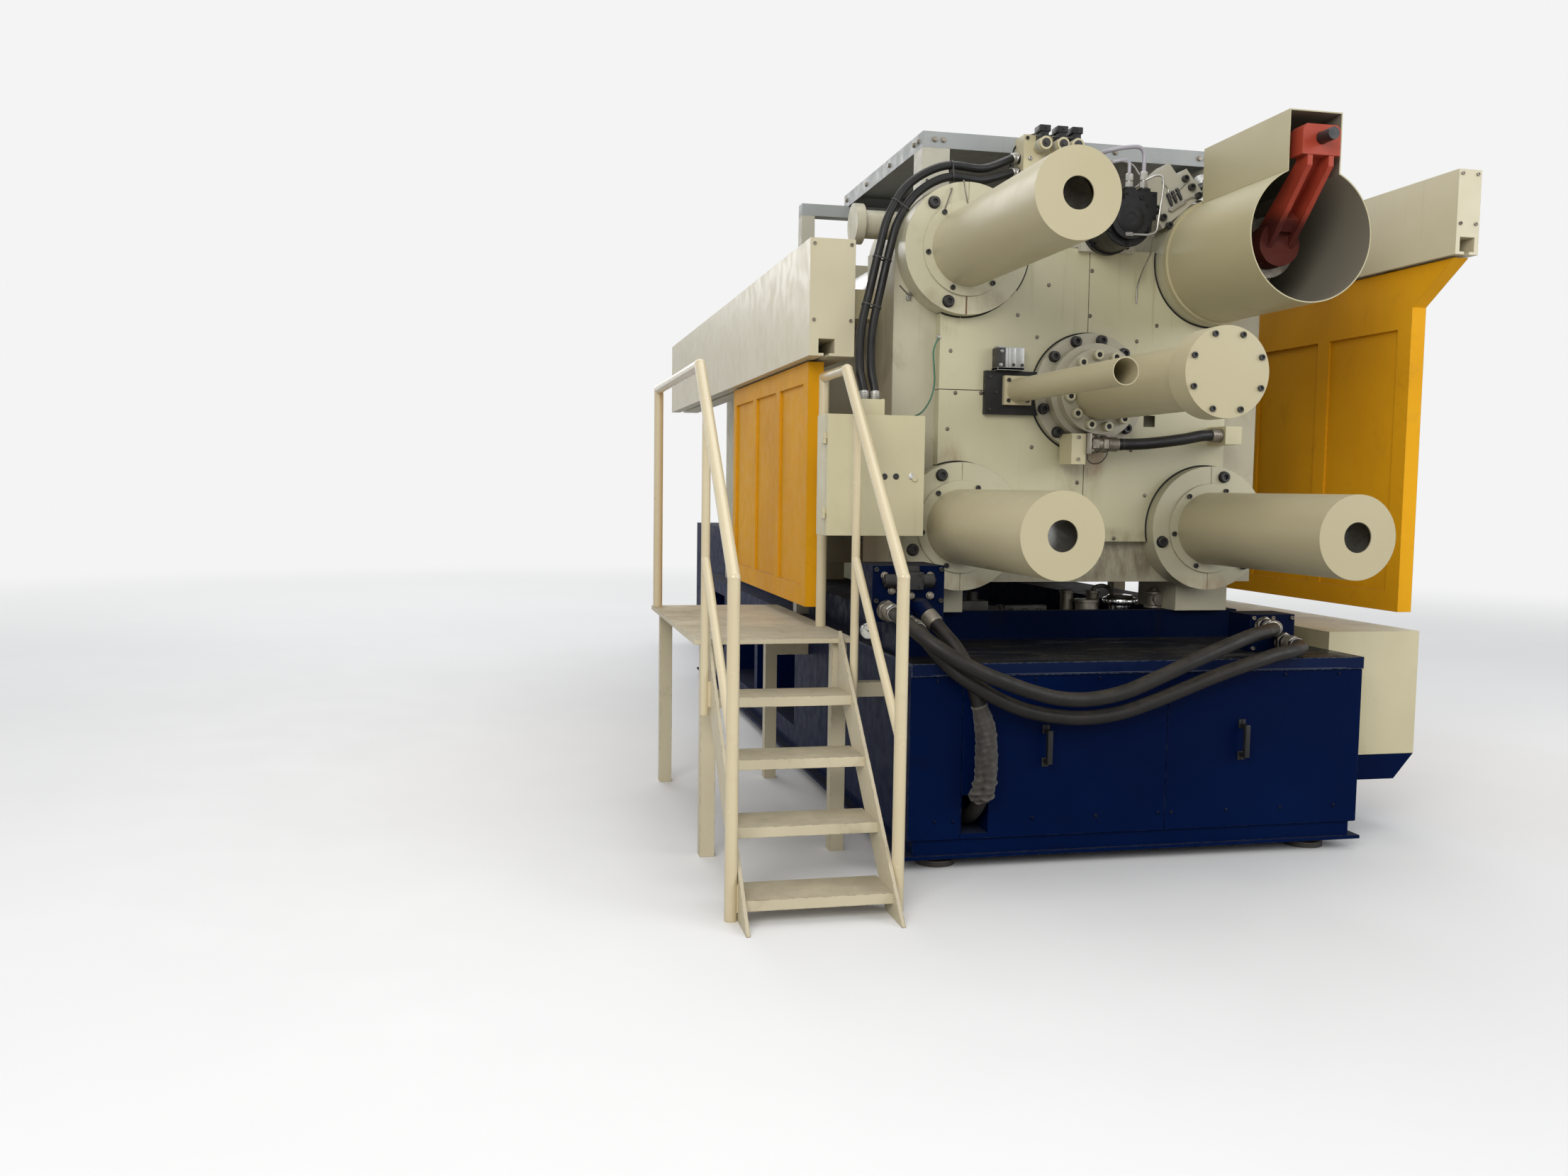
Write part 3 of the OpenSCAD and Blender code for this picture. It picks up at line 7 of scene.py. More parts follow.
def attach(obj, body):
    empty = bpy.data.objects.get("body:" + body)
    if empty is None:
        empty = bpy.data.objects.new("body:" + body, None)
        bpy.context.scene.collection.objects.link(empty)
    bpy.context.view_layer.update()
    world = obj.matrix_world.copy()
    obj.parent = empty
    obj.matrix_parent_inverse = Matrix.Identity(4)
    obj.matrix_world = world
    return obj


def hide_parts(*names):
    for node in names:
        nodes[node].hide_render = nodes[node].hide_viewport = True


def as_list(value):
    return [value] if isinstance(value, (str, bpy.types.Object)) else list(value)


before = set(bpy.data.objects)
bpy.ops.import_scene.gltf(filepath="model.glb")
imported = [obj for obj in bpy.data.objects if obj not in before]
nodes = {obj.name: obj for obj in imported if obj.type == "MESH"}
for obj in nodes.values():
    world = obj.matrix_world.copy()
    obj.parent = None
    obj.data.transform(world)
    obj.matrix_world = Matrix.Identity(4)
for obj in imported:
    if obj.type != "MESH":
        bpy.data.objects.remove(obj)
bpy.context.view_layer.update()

# The machine's own millimetres, from its centre line and its front cover, to the row frame's metres
MID_X, MID_Y = -136.75, 2835.5
FRONT, BACK, UP, RIGHT, LEFT = (0, -1, 0), (0, 1, 0), (0, 0, 1), (1, 0, 0), (-1, 0, 0)
# Height of the clamp's axis, and the tie bars' places beside and above it
AX = 1926
BX = 590
LOW, HIGH = 1336, 2516

# The photograph's camera, solved from the machine's straight edges: lens in its pixels, angles, place
PHOTO_WIDTH, FOCAL, SENSOR = 2212, 1833.44, 36
YAW, PITCH, ROLL = 0.21514544668803673, -0.07729022735412834, 0.013303985974861874
CAMERA_AT = (-2530.9, -5382.13, 1494.77)


def P(x, y, z):
    return Vector(((x - MID_X) / 1000, (y - MID_Y) / 1000, z / 1000))


def add_object(name, data):
    ob = bpy.data.objects.new(name, data)
    bpy.context.scene.collection.objects.link(ob)
    return ob


def add_camera():
    forward = Vector((math.sin(YAW) * math.cos(PITCH), math.cos(YAW) * math.cos(PITCH), math.sin(PITCH)))
    level = Vector((math.cos(YAW), -math.sin(YAW), 0))
    up = level.cross(forward)
    right = math.cos(ROLL) * level + math.sin(ROLL) * up
    top = -math.sin(ROLL) * level + math.cos(ROLL) * up
    data = bpy.data.cameras.new("camera")
    data.sensor_fit = "HORIZONTAL"
    data.sensor_width = SENSOR
    data.lens = SENSOR * FOCAL / PHOTO_WIDTH
    data.clip_end = 200
    cam = add_object("camera", data)
    m = Matrix((right, top, -forward)).transposed().to_4x4()
    m.translation = P(*CAMERA_AT)
    cam.matrix_world = m
    bpy.context.scene.camera = cam


add_camera()

# Node trees


class Tree:
    """The node tree of a material or the world, put together with short calls."""

    def __init__(self, owner):
        owner.use_nodes = True
        self.nt = owner.node_tree
        self.nt.nodes.clear()

    def link(self, a, b):
        self.nt.links.new(a, b)

    def put(self, value, socket):
        if isinstance(value, bpy.types.NodeSocket):
            self.link(value, socket)
        elif value is not None:
            colour = socket.type == "RGBA" and hasattr(value, "__len__")
            socket.default_value = (*value[:3], 1) if colour else value

    def node(self, kind, **values):
        """A new shader node; each value goes to the socket of that name."""
        n = self.nt.nodes.new("ShaderNode" + kind)
        for name, value in values.items():
            self.put(value, n.inputs[name.replace("_", " ")])
        return n

    def math(self, op, a, b=None, clamp=False):
        n = self.node("Math")
        n.operation = op
        n.use_clamp = clamp
        self.put(a, n.inputs[0])
        self.put(b, n.inputs[1])
        return n.outputs[0]

    def blend(self, fac, a, b):
        n = self.node("MixShader")
        for k, value in enumerate((fac, a, b)):
            self.put(value, n.inputs[k])
        return n.outputs[0]


class Graph(Tree):
    """One material."""

    def __init__(self, name):
        self.mat = bpy.data.materials.new(name)
        super().__init__(self.mat)
        self.bsdf = self.node("BsdfPrincipled")
        self.out = self.node("OutputMaterial", Surface=self.bsdf.outputs[0])
        self.co = self.node("TexCoord").outputs["Object"]
        self.geo = self.node("NewGeometry").outputs

    def mul(self, a, b):
        return self.math("MULTIPLY", a, b)

    def add(self, a, b):
        return self.math("ADD", a, b)

    def sub(self, a, b):
        return self.math("SUBTRACT", a, b)

    def size(self, a):
        return self.math("ABSOLUTE", a)

    def rougher(self, roughness, mask, amount):
        return self.math("ADD", roughness, self.mul(mask, amount), clamp=True)

    def vector(self, op, a, b=None, out=0):
        n = self.node("VectorMath")
        n.operation = op
        self.put(a, n.inputs[0])
        self.put(b, n.inputs[1])
        return n.outputs[out]

    def noise(self, scale, detail=3, rough=0.55, stretch=None, distort=0):
        place = self.vector("MULTIPLY", self.co, stretch) if stretch else self.co
        n = self.node("TexNoise", Vector=place, Scale=scale, Detail=detail, Roughness=rough,
                      Distortion=distort)
        return n.outputs["Fac"]

    def band(self, value, lo=0.3, hi=0.7, to_lo=0.0, to_hi=1.0):
        n = self.node("MapRange", Value=value, From_Min=lo, From_Max=hi, To_Min=to_lo, To_Max=to_hi)
        n.interpolation_type = "SMOOTHSTEP"
        return n.outputs["Result"]

    def mix(self, fac, a, b):
        n = self.node("Mix")
        n.data_type = "RGBA"
        for value, k in ((fac, 0), (a, 6), (b, 7)):
            self.put(value, n.inputs[k])
        return n.outputs[2]

    def axis(self, vector, k):
        return self.node("SeparateXYZ", Vector=vector).outputs[k]

    def up(self, lo=0.5, hi=0.9):
        return self.band(self.axis(self.geo["Normal"], 2), lo, hi)

    def bevel(self, radius):
        n = self.node("Bevel", Radius=radius)
        n.samples = 4
        return n.outputs[0]

    def edges(self, radius):
        d = self.vector("DOT_PRODUCT", self.bevel(radius), self.geo["True Normal"], "Value")
        return self.band(self.sub(1, d), 0.02, 0.25)

    def blob(self, centre, radii, soft=0.4):
        """1 inside a soft ellipsoid, given in the machine's millimetres."""
        d = self.vector("SUBTRACT", self.co, tuple(P(*centre)))
        d = self.vector("DIVIDE", d, tuple(r / 1000 for r in radii))
        return self.band(self.vector("LENGTH", d, out="Value"), 1.0, soft)

    def finish(self, colour, rough, height, strength, distance, metallic=0.0, bevel=0, **sockets):
        normal = self.bevel(bevel) if bevel else None
        bump = self.node("Bump", Strength=strength, Distance=distance, Height=height, Normal=normal)
        values = dict(sockets, Base_Color=colour, Roughness=rough, Metallic=metallic, Normal=bump.outputs[0])
        for name, value in values.items():
            self.put(value, self.bsdf.inputs[name.replace("_", " ")])
        return self.mat


# Kinds of surface

BROWN = (0.16, 0.105, 0.05)
DUST = (0.20, 0.185, 0.155)
SOOT = (0.30, 0.22, 0.11)
RED_BROWN = (0.24, 0.14, 0.06)


def paint(name, base, dark, grime=BROWN, rough=(0.28, 0.45), grimy=0.35, dust=DUST, dusty=0.5, wear=None,
          worn=0.0, streak=0.5, stains=(), chips=0.0, bevel=0.0025, orange=0.25, coat=0.0, spots=0.3,
          gloss=0.5, mottled=0.3, inside=None):
    """Painted metal: tone drift, mottling, grime, dust on what faces up, worn edges, chips and stains."""
    g = Graph(name)
    colour = g.mix(g.band(g.noise(0.9, 3)), base, dark)
    colour = g.mix(g.band(g.noise(9, 4, 0.6), 0.45, 0.75, 0, mottled), colour, dark)
    runs = g.band(g.noise(1.0, 4, 0.6, stretch=(26, 26, 1.6)), 0.56, 0.8)
    broad = g.band(g.noise(1.3, 2), 0.42, 0.66)
    wall = g.sub(1, g.up(0.3, 0.8))
    colour = g.mix(g.mul(g.mul(runs, broad), g.mul(wall, streak)), colour, grime)
    colour = g.mix(g.mul(g.band(g.noise(3.1, 6, 0.7, distort=0.6), 0.55, 0.78), grimy), colour, grime)
    speck = g.band(g.node("TexVoronoi", Vector=g.co, Scale=55).outputs["Distance"], 0.09, 0.02)
    colour = g.mix(g.mul(speck, g.band(g.noise(6, 2), 0.55, 0.7, 0, spots)), colour, grime)
    roughness = g.band(g.noise(14, 4), to_lo=rough[0], to_hi=rough[1])
    for centre, radii, tint, amount in stains:
        cloud = g.band(g.noise(9, 5, 0.7, stretch=(1, 1, 0.35)), 0.35, 0.7, 0, amount)
        colour = g.mix(g.mul(g.blob(centre, radii), cloud), colour, tint)
    # inside: a mask and a dark tint laid over the paint as painted shade, for recesses and under things
    if inside:
        shade_mask_of, tint = inside
        mask = shade_mask_of(g)
        colour = g.mix(mask, colour, tint)
        roughness = g.rougher(roughness, mask, 0.3)
    if dust:
        d = g.mul(g.up(), g.band(g.noise(5, 6, 0.7), 0.25, 0.7, dusty * 0.4, dusty))
        colour = g.mix(d, colour, dust)
        roughness = g.rougher(roughness, d, 0.4)
    if wear:
        e = g.mul(g.edges(0.006), g.band(g.noise(35, 5, 0.7), 0.46, 0.62, 0, worn))
        if chips:
            e = g.math("MAXIMUM", e, g.band(g.noise(17, 6, 0.75, distort=0.3), 0.68, 0.71, 0, chips))
        colour = g.mix(e, colour, wear)
        roughness = g.rougher(roughness, e, 0.25)
    height = g.add(g.mul(g.noise(260, 2), 0.06), g.mul(g.noise(5, 1), 0.4))
    return g.finish(colour, roughness, height, orange, 0.0012, bevel=bevel, Coat_Weight=coat,
                    Coat_Roughness=0.12, Specular_IOR_Level=gloss)


def metal(name, base, dark, rough=(0.25, 0.45), stain=(0.10, 0.06, 0.03), stained=0.3, metallic=0.9,
          brushed=None, bump=0.2):
    """Bare or plated metal: tone drift, oil and rust film, turned or brushed lines."""
    g = Graph(name)
    film = g.band(g.noise(7, 6, 0.7, distort=0.5), 0.52, 0.75, 0, stained)
    colour = g.mix(film, g.mix(g.band(g.noise(4, 4)), base, dark), stain)
    lines = g.noise(1, 3, 0.6, stretch=brushed) if brushed else g.noise(120, 3)
    roughness = g.rougher(g.band(g.noise(20, 4), to_lo=rough[0], to_hi=rough[1]), film, 0.25)
    roughness = g.math("ADD", roughness, g.band(lines, to_lo=-0.06, to_hi=0.06), clamp=True)
    bare = g.math("SUBTRACT", metallic, g.mul(film, 0.6), clamp=True)
    return g.finish(colour, roughness, lines, bump, 0.0006, metallic=bare, bevel=0.0012)


def plastic(name, base, dark, dust, rough=(0.45, 0.65), dusty=0.35, bevel=0.001, grain=220, bump=0.3,
            under=-1.0, **sockets):
    """Rubber, moulded plastic or blackened steel with a film of dust, on hoses also a painted highlight."""
    g = Graph(name)
    film = g.mul(g.band(g.noise(8, 6, 0.72), 0.3, 0.75), dusty)
    # The film grows towards upward faces; where under is raised it stays off the undersides, giving painted
    # highlight on top and painted shade below.
    film = g.mul(film, g.band(g.axis(g.geo["Normal"], 2), under, 0.95))
    colour = g.mix(film, g.mix(g.band(g.noise(11, 4)), base, dark), dust)
    roughness = g.rougher(g.band(g.noise(30, 4), to_lo=rough[0], to_hi=rough[1]), film, 0.3)
    return g.finish(colour, roughness, g.noise(grain, 3), bump, 0.0008, bevel=bevel, **sockets)


def guard_inner_shade(g):
    """1 on the inner walls of the puller's guard and slot housing, for painted shade; 0 elsewhere."""
    x, y, z = (g.axis(g.co, k) for k in range(3))
    centre = P(BX, -102.5, HIGH)
    dx = g.size(g.sub(x, centre.x))
    dz = g.sub(z, centre.z)
    r = g.math("POWER", g.add(g.mul(dx, dx), g.mul(dz, dz)), 0.5)
    tube = g.math("LESS_THAN", r, 0.264)
    slot = g.mul(g.math("LESS_THAN", dx, 0.113), g.math("LESS_THAN", dz, 0.4715))
    slot = g.mul(slot, g.mul(g.math("GREATER_THAN", dz, 0.2), g.math("LESS_THAN", y, centre.y)))
    behind = g.math("GREATER_THAN", y, P(0, -732.5, 0).y)
    return g.mul(g.math("MAXIMUM", tube, slot), behind)


def arm_foot_shade(g):
    """1 at the foot of the puller's arm, fading up the arm: where painted shade darkens it."""
    return g.mul(g.blob((BX - 15, -520, HIGH - 12), (185, 290, 160), 0.55), 0.92)


def sleeve_cloth():
    """Fire sleeve: coarse diagonal weave, greasy; painted shade in folds, painted highlight on crests."""
    g = Graph("sleeve_cloth")
    weave = g.node("TexWave", Vector=g.co, Scale=160)
    weave.bands_direction = "DIAGONAL"
    weave = weave.outputs["Fac"]
    fold_shade_and_highlight = g.geo["Pointiness"]
    colour = g.mix(g.band(g.noise(14, 5, 0.7)), (0.026, 0.021, 0.018), (0.058, 0.050, 0.042))
    colour = g.mix(g.band(g.noise(5, 6, 0.7), 0.5, 0.75, 0, 0.6), colour, (0.014, 0.012, 0.010))
    colour = g.mix(g.band(weave, 0.2, 0.8, 0, 0.25), colour, (0.018, 0.016, 0.014))
    # By pointiness: dark in the folds as painted shade, light on the crests as painted highlight.
    colour = g.mix(g.band(fold_shade_and_highlight, 0.515, 0.44, 0, 0.85), colour, (0.007, 0.006, 0.005))
    colour = g.mix(g.band(fold_shade_and_highlight, 0.51, 0.58, 0, 0.6), colour, (0.115, 0.100, 0.085))
    height = g.add(weave, g.mul(g.noise(40, 4), 2))
    return g.finish(colour, g.band(g.noise(20, 3), to_lo=0.75, to_hi=0.95), height, 0.5, 0.001,
                    Sheen_Weight=0.12)


def deck_steel():
    """Deck plate: dark blue paint with raised bars, trodden and dusty, scratched bright along its lip."""
    g = Graph("deck_plate")
    x, y = (g.axis(g.co, k) for k in range(2))
    u, v = g.mul(g.add(x, y), 28), g.mul(g.sub(x, y), 28)
    cell = g.add(g.math("FLOOR", u), g.math("FLOOR", v))
    odd = g.math("MODULO", g.size(cell), 2)
    fu, fv = (g.size(g.sub(g.math("FRACT", w), 0.5)) for w in (u, v))
    a, b = g.add(fu, g.mul(fv, 3.4)), g.add(g.mul(fu, 3.4), fv)
    bar = g.add(g.mul(a, odd), g.mul(b, g.sub(1, odd)))
    raised = g.mul(g.band(bar, 0.5, 0.38), g.up())
    top = g.mix(g.band(g.noise(3, 5, 0.7), 0.35, 0.65), (0.006, 0.008, 0.015), (0.013, 0.012, 0.011))
    top = g.mix(g.mul(raised, g.band(g.noise(4, 4), 0.45, 0.65, 0.05, 0.45)), top, (0.07, 0.072, 0.075))
    rubbed = g.band(g.noise(1.0, 5, 0.75, stretch=(2.2, 9, 2), distort=0.8), 0.5, 0.72, 0, 0.75)
    top = g.mix(rubbed, top, (0.085, 0.08, 0.072))
    lip = g.mix(g.band(bar, 0.46, 0.36, 0, 0.5), (0.0008, 0.0066, 0.036), (0.005, 0.013, 0.050))
    edge = g.mul(g.edges(0.008), g.band(g.noise(40, 5, 0.7), 0.4, 0.6))
    colour = g.mix(edge, g.mix(g.up(), lip, top), (0.13, 0.14, 0.16))
    height = g.add(raised, g.mul(g.noise(60, 3), 0.2))
    return g.finish(colour, g.band(g.noise(9, 4), to_lo=0.3, to_hi=0.6), height, 0.7, 0.0015,
                    Specular_IOR_Level=0.1)


# Materials

M = {}
M["cream"] = paint("cream_paint", (0.585, 0.525, 0.335), (0.50, 0.445, 0.275), BROWN, grimy=0.16,
                   streak=0.22, wear=(0.30, 0.25, 0.17), worn=0.5, coat=0.15)
COVER_STAINS = (
    ((30, 0, 1640), (100, 90, 120), (0.20, 0.09, 0.03), 0.85),
    ((-40, 0, 1500), (150, 90, 260), (0.22, 0.14, 0.06), 0.5),
    ((-640, 0, 1560), (110, 120, 200), (0.22, 0.13, 0.06), 0.65),
    ((0, 0, 1290), (620, 60, 60), BROWN, 0.45),
    ((330, 0, 2480), (150, 80, 130), (0.26, 0.20, 0.12), 0.4),
    ((-640, 0, 2240), (90, 80, 120), BROWN, 0.45),
    ((160, 0, 1745), (130, 70, 60), (0.10, 0.06, 0.03), 0.6),
)
M["cover"] = paint("cover_paint", (0.53, 0.50, 0.335), (0.475, 0.445, 0.29), BROWN, rough=(0.28, 0.38),
                   grimy=0.12, orange=0.12, mottled=0.15, streak=0.35, wear=(0.26, 0.20, 0.12), worn=0.45,
                   coat=0.2, stains=COVER_STAINS)
M["flange"] = paint("flange_paint", (0.53, 0.50, 0.355), (0.45, 0.42, 0.29), BROWN, rough=(0.3, 0.42),
                    grimy=0.18, orange=0.12, mottled=0.2, streak=0.3, dusty=0.4, wear=(0.28, 0.22, 0.14),
                    worn=0.6, stains=(((-590, -60, 1060), (300, 90, 90), RED_BROWN, 0.6),
                                      ((-590, -60, 2300), (300, 90, 70), BROWN, 0.4),
                                      ((590, -60, 1060), (300, 90, 90), RED_BROWN, 0.6)))
# The hub's cream is darker than the cover's: painted shade, for the shade the hub sits in. Its rust stain is
# real.
M["hub"] = paint("shaded_hub_paint", (0.49, 0.462, 0.36), (0.39, 0.362, 0.27), (0.10, 0.075, 0.04),
                 rough=(0.3, 0.5), grimy=0.22, streak=0.4, dusty=0.4, wear=(0.22, 0.18, 0.12), worn=0.7,
                 stains=(((60, -80, 1720), (150, 120, 60), (0.20, 0.08, 0.03), 0.9),))
M["casting"] = paint("casting_paint", (0.48, 0.45, 0.33), (0.38, 0.35, 0.25), BROWN, rough=(0.4, 0.6),
                     grimy=0.4, streak=0.6, dusty=0.7, wear=(0.22, 0.16, 0.09), worn=0.8, orange=0.5,
                     stains=(((0, 60, 1180), (760, 120, 130), (0.11, 0.075, 0.04), 0.85),
                             ((-640, 60, 1100), (330, 200, 130), (0.13, 0.085, 0.045), 0.8)))
TUBE = dict(rough=(0.34, 0.42), grimy=0.08, streak=0.05, dusty=0.12, wear=(0.33, 0.27, 0.18),
            worn=0.25, orange=0.06, bevel=0.0015, spots=0.12, mottled=0.1, gloss=0.32)
M["tube"] = paint("tube_paint", (0.50, 0.447, 0.292), (0.455, 0.40, 0.25), SOOT, **TUBE)
# The guard's inner walls and slot housing are tinted dark: painted shade in the recess.
M["guard"] = paint("guard_paint", (0.485, 0.435, 0.268), (0.44, 0.392, 0.235), SOOT,
                   inside=(guard_inner_shade, (0.21, 0.19, 0.145)), **TUBE)
SHEET = dict(rough=(0.4, 0.6), grimy=0.3, streak=0.45, dusty=0.7, wear=(0.16, 0.10, 0.06), worn=0.7,
             orange=0.12)
M["grey_cream"] = paint("weathered_sheet", (0.50, 0.475, 0.385), (0.41, 0.39, 0.31), (0.12, 0.10, 0.08),
                        **SHEET)
M["roof"] = paint("weathered_roof", (0.345, 0.36, 0.35), (0.275, 0.29, 0.285), (0.12, 0.11, 0.10), **SHEET)
M["beam"] = paint("beam_paint", (0.60, 0.545, 0.385), (0.54, 0.485, 0.33), BROWN, rough=(0.3, 0.42),
                  grimy=0.1, streak=0.1, dusty=0.6, wear=(0.30, 0.25, 0.17), worn=0.3, orange=0.06,
                  gloss=0.35, spots=0.1)
M["cabinet"] = paint("cabinet_paint", (0.57, 0.52, 0.335), (0.52, 0.47, 0.295), BROWN, rough=(0.28, 0.42),
                     grimy=0.1, streak=0.2, dusty=0.6, wear=(0.28, 0.22, 0.13), worn=0.5, coat=0.1,
                     orange=0.15)
M["navy"] = paint("navy_paint", (0.0005, 0.0066, 0.041), (0.0004, 0.0045, 0.030), (0.002, 0.004, 0.010),
                  rough=(0.34, 0.46), grimy=0.3, streak=0.3, dust=(0.04, 0.039, 0.036), dusty=0.55,
                  mottled=0.2, wear=(0.03, 0.04, 0.075), worn=0.8, chips=0.08, orange=0.06, gloss=0.035)
M["navy_dull"] = paint("navy_dull", (0.0007, 0.0058, 0.034), (0.0006, 0.0040, 0.022), (0.007, 0.0062, 0.005),
                       rough=(0.35, 0.6), grimy=0.6, streak=0.6, dust=(0.05, 0.046, 0.038), dusty=0.8,
                       wear=(0.04, 0.04, 0.045), worn=0.7, chips=0.15, orange=0.15, gloss=0.04)
M["rail"] = paint("rail_paint", (0.64, 0.55, 0.36), (0.58, 0.49, 0.31), (0.20, 0.13, 0.06),
                  rough=(0.16, 0.28), grimy=0.15, streak=0.4, dust=None, wear=(0.16, 0.08, 0.04), worn=0.5,
                  chips=0.3, coat=0.4, bevel=0, orange=0.1)
M["ladder"] = paint("ladder_paint", (0.60, 0.535, 0.375), (0.52, 0.455, 0.31), (0.13, 0.085, 0.045),
                    rough=(0.35, 0.6), grimy=0.4, streak=0.4, dust=(0.22, 0.185, 0.135), dusty=0.6,
                    orange=0.12, wear=(0.12, 0.065, 0.035), worn=1.0, chips=0.7)
# The foot of the puller's arm, down in the guard, is tinted dark red: painted shade.
M["red"] = paint("red_paint", (0.45, 0.074, 0.040), (0.33, 0.044, 0.022), (0.07, 0.018, 0.010),
                 rough=(0.38, 0.55), grimy=0.45, streak=0.4, dust=(0.26, 0.11, 0.07), dusty=0.3,
                 wear=(0.50, 0.17, 0.10), worn=0.5, chips=0.25, orange=0.3, bevel=0.004, gloss=0.22,
                 inside=(arm_foot_shade, (0.050, 0.009, 0.006)))
M["yellow"] = paint("yellow_paint", (0.74, 0.36, 0.010), (0.62, 0.28, 0.008), (0.15, 0.08, 0.02),
                    rough=(0.42, 0.55), grimy=0.25, streak=0.12, dusty=0.6, wear=(0.12, 0.08, 0.05),
                    worn=0.6, chips=0.15, orange=0.05, gloss=0.06, spots=0.1)
M["steel"] = metal("machined_steel", (0.50, 0.50, 0.49), (0.36, 0.36, 0.35), stained=0.45)
M["bar_steel"] = metal("ground_bar", (0.56, 0.56, 0.55), (0.44, 0.44, 0.43), rough=(0.22, 0.34),
                       brushed=(4, 90, 4), stained=0.55, bump=0.02)
M["chrome"] = metal("chrome_plate", (0.72, 0.72, 0.72), (0.6, 0.6, 0.6), rough=(0.08, 0.2), stained=0.15,
                    metallic=1.0)
M["nickel"] = metal("nickel_fitting", (0.44, 0.43, 0.40), (0.32, 0.31, 0.29), rough=(0.28, 0.45),
                    stained=0.3)
M["dirty_steel"] = metal("greasy_steel", (0.30, 0.27, 0.22), (0.16, 0.14, 0.11), rough=(0.3, 0.55),
                         stain=(0.035, 0.026, 0.017), stained=0.85, metallic=0.7)
M["alloy"] = metal("anodised_alloy", (0.44, 0.44, 0.43), (0.36, 0.36, 0.35), rough=(0.3, 0.45),
                   brushed=(4, 4, 300), stained=0.15)
M["iron"] = paint("oily_iron", (0.045, 0.039, 0.033), (0.024, 0.021, 0.018), (0.02, 0.015, 0.012),
                  rough=(0.3, 0.6), grimy=0.7, dusty=0.4, streak=0.4, wear=(0.24, 0.22, 0.2), worn=0.6)
M["toggle"] = paint("toggle_casting", (0.34, 0.31, 0.23), (0.24, 0.21, 0.15), (0.06, 0.045, 0.03),
                    rough=(0.35, 0.6), grimy=0.7, streak=0.6, dusty=0.5, wear=(0.2, 0.17, 0.13), worn=0.8)
M["black"] = plastic("black_oxide", (0.010, 0.010, 0.011), (0.018, 0.017, 0.016), (0.09, 0.08, 0.065),
                     rough=(0.3, 0.5), dusty=0.3)
M["motor"] = plastic("motor_enamel", (0.004, 0.0045, 0.0055), (0.008, 0.008, 0.0088), (0.06, 0.056, 0.048),
                     rough=(0.3, 0.42), dusty=0.22, grain=120, bump=0.05, Specular_IOR_Level=0.25)
M["plate"] = plastic("black_plate", (0.007, 0.0075, 0.0085), (0.012, 0.012, 0.013), (0.08, 0.07, 0.055),
                     rough=(0.35, 0.55), dusty=0.2, Specular_IOR_Level=0.3)
# Hose rubber: the dust film, kept to the upper sides, is also a painted highlight on the hoses' tops, with
# painted shade left underneath.
M["rubber"] = plastic("hose_rubber", (0.0085, 0.008, 0.0075), (0.014, 0.012, 0.010), (0.085, 0.068, 0.051),
                      rough=(0.4, 0.55), dusty=0.5, grain=140, bump=0.12, under=0.15, Specular_IOR_Level=0.3)
M["rubber_dark"] = plastic("black_rubber", (0.006, 0.006, 0.0065), (0.011, 0.011, 0.011), (0.07, 0.06, 0.05),
                           rough=(0.35, 0.5), dusty=0.3, grain=140, bump=0.1, under=-0.2,
                           Specular_IOR_Level=0.3)
M["pipe"] = paint("pipe_paint", (0.40, 0.385, 0.43), (0.31, 0.295, 0.33), BROWN, rough=(0.25, 0.4),
                  grimy=0.3, streak=0.1, dusty=0.5, bevel=0, coat=0.2)
# Near-black filling for holes and socket recesses: painted shade in the recesses.
M["void"] = plastic("painted_hole_shade", (0.004, 0.004, 0.004), (0.008, 0.008, 0.008), (0.03, 0.028, 0.024),
                    rough=(0.7, 0.9), bevel=0)
# Pale blue for the thin strip along the foot of the deck's lip.
M["pale_lip_strip"] = plastic("pale_lip_strip", (0.055, 0.068, 0.10), (0.02, 0.03, 0.055), (0.09, 0.085, 0.075),
                         rough=(0.4, 0.6), dusty=0.4)
M["rust"] = plastic("rusty_key", (0.19, 0.085, 0.035), (0.10, 0.045, 0.02), DUST, rough=(0.6, 0.8),
                    dusty=0.3)
M["green"] = plastic("earth_lead", (0.02, 0.16, 0.09), (0.015, 0.11, 0.065), DUST, rough=(0.4, 0.6),
                     dusty=0.4)
M["dial"] = plastic("dial_enamel", (0.72, 0.71, 0.66), (0.62, 0.60, 0.54), (0.30, 0.26, 0.20),
                    rough=(0.15, 0.3), dusty=0.3, Coat_Weight=0.6, Coat_Roughness=0.05)

M["sleeve"] = sleeve_cloth()
M["deck"] = deck_steel()

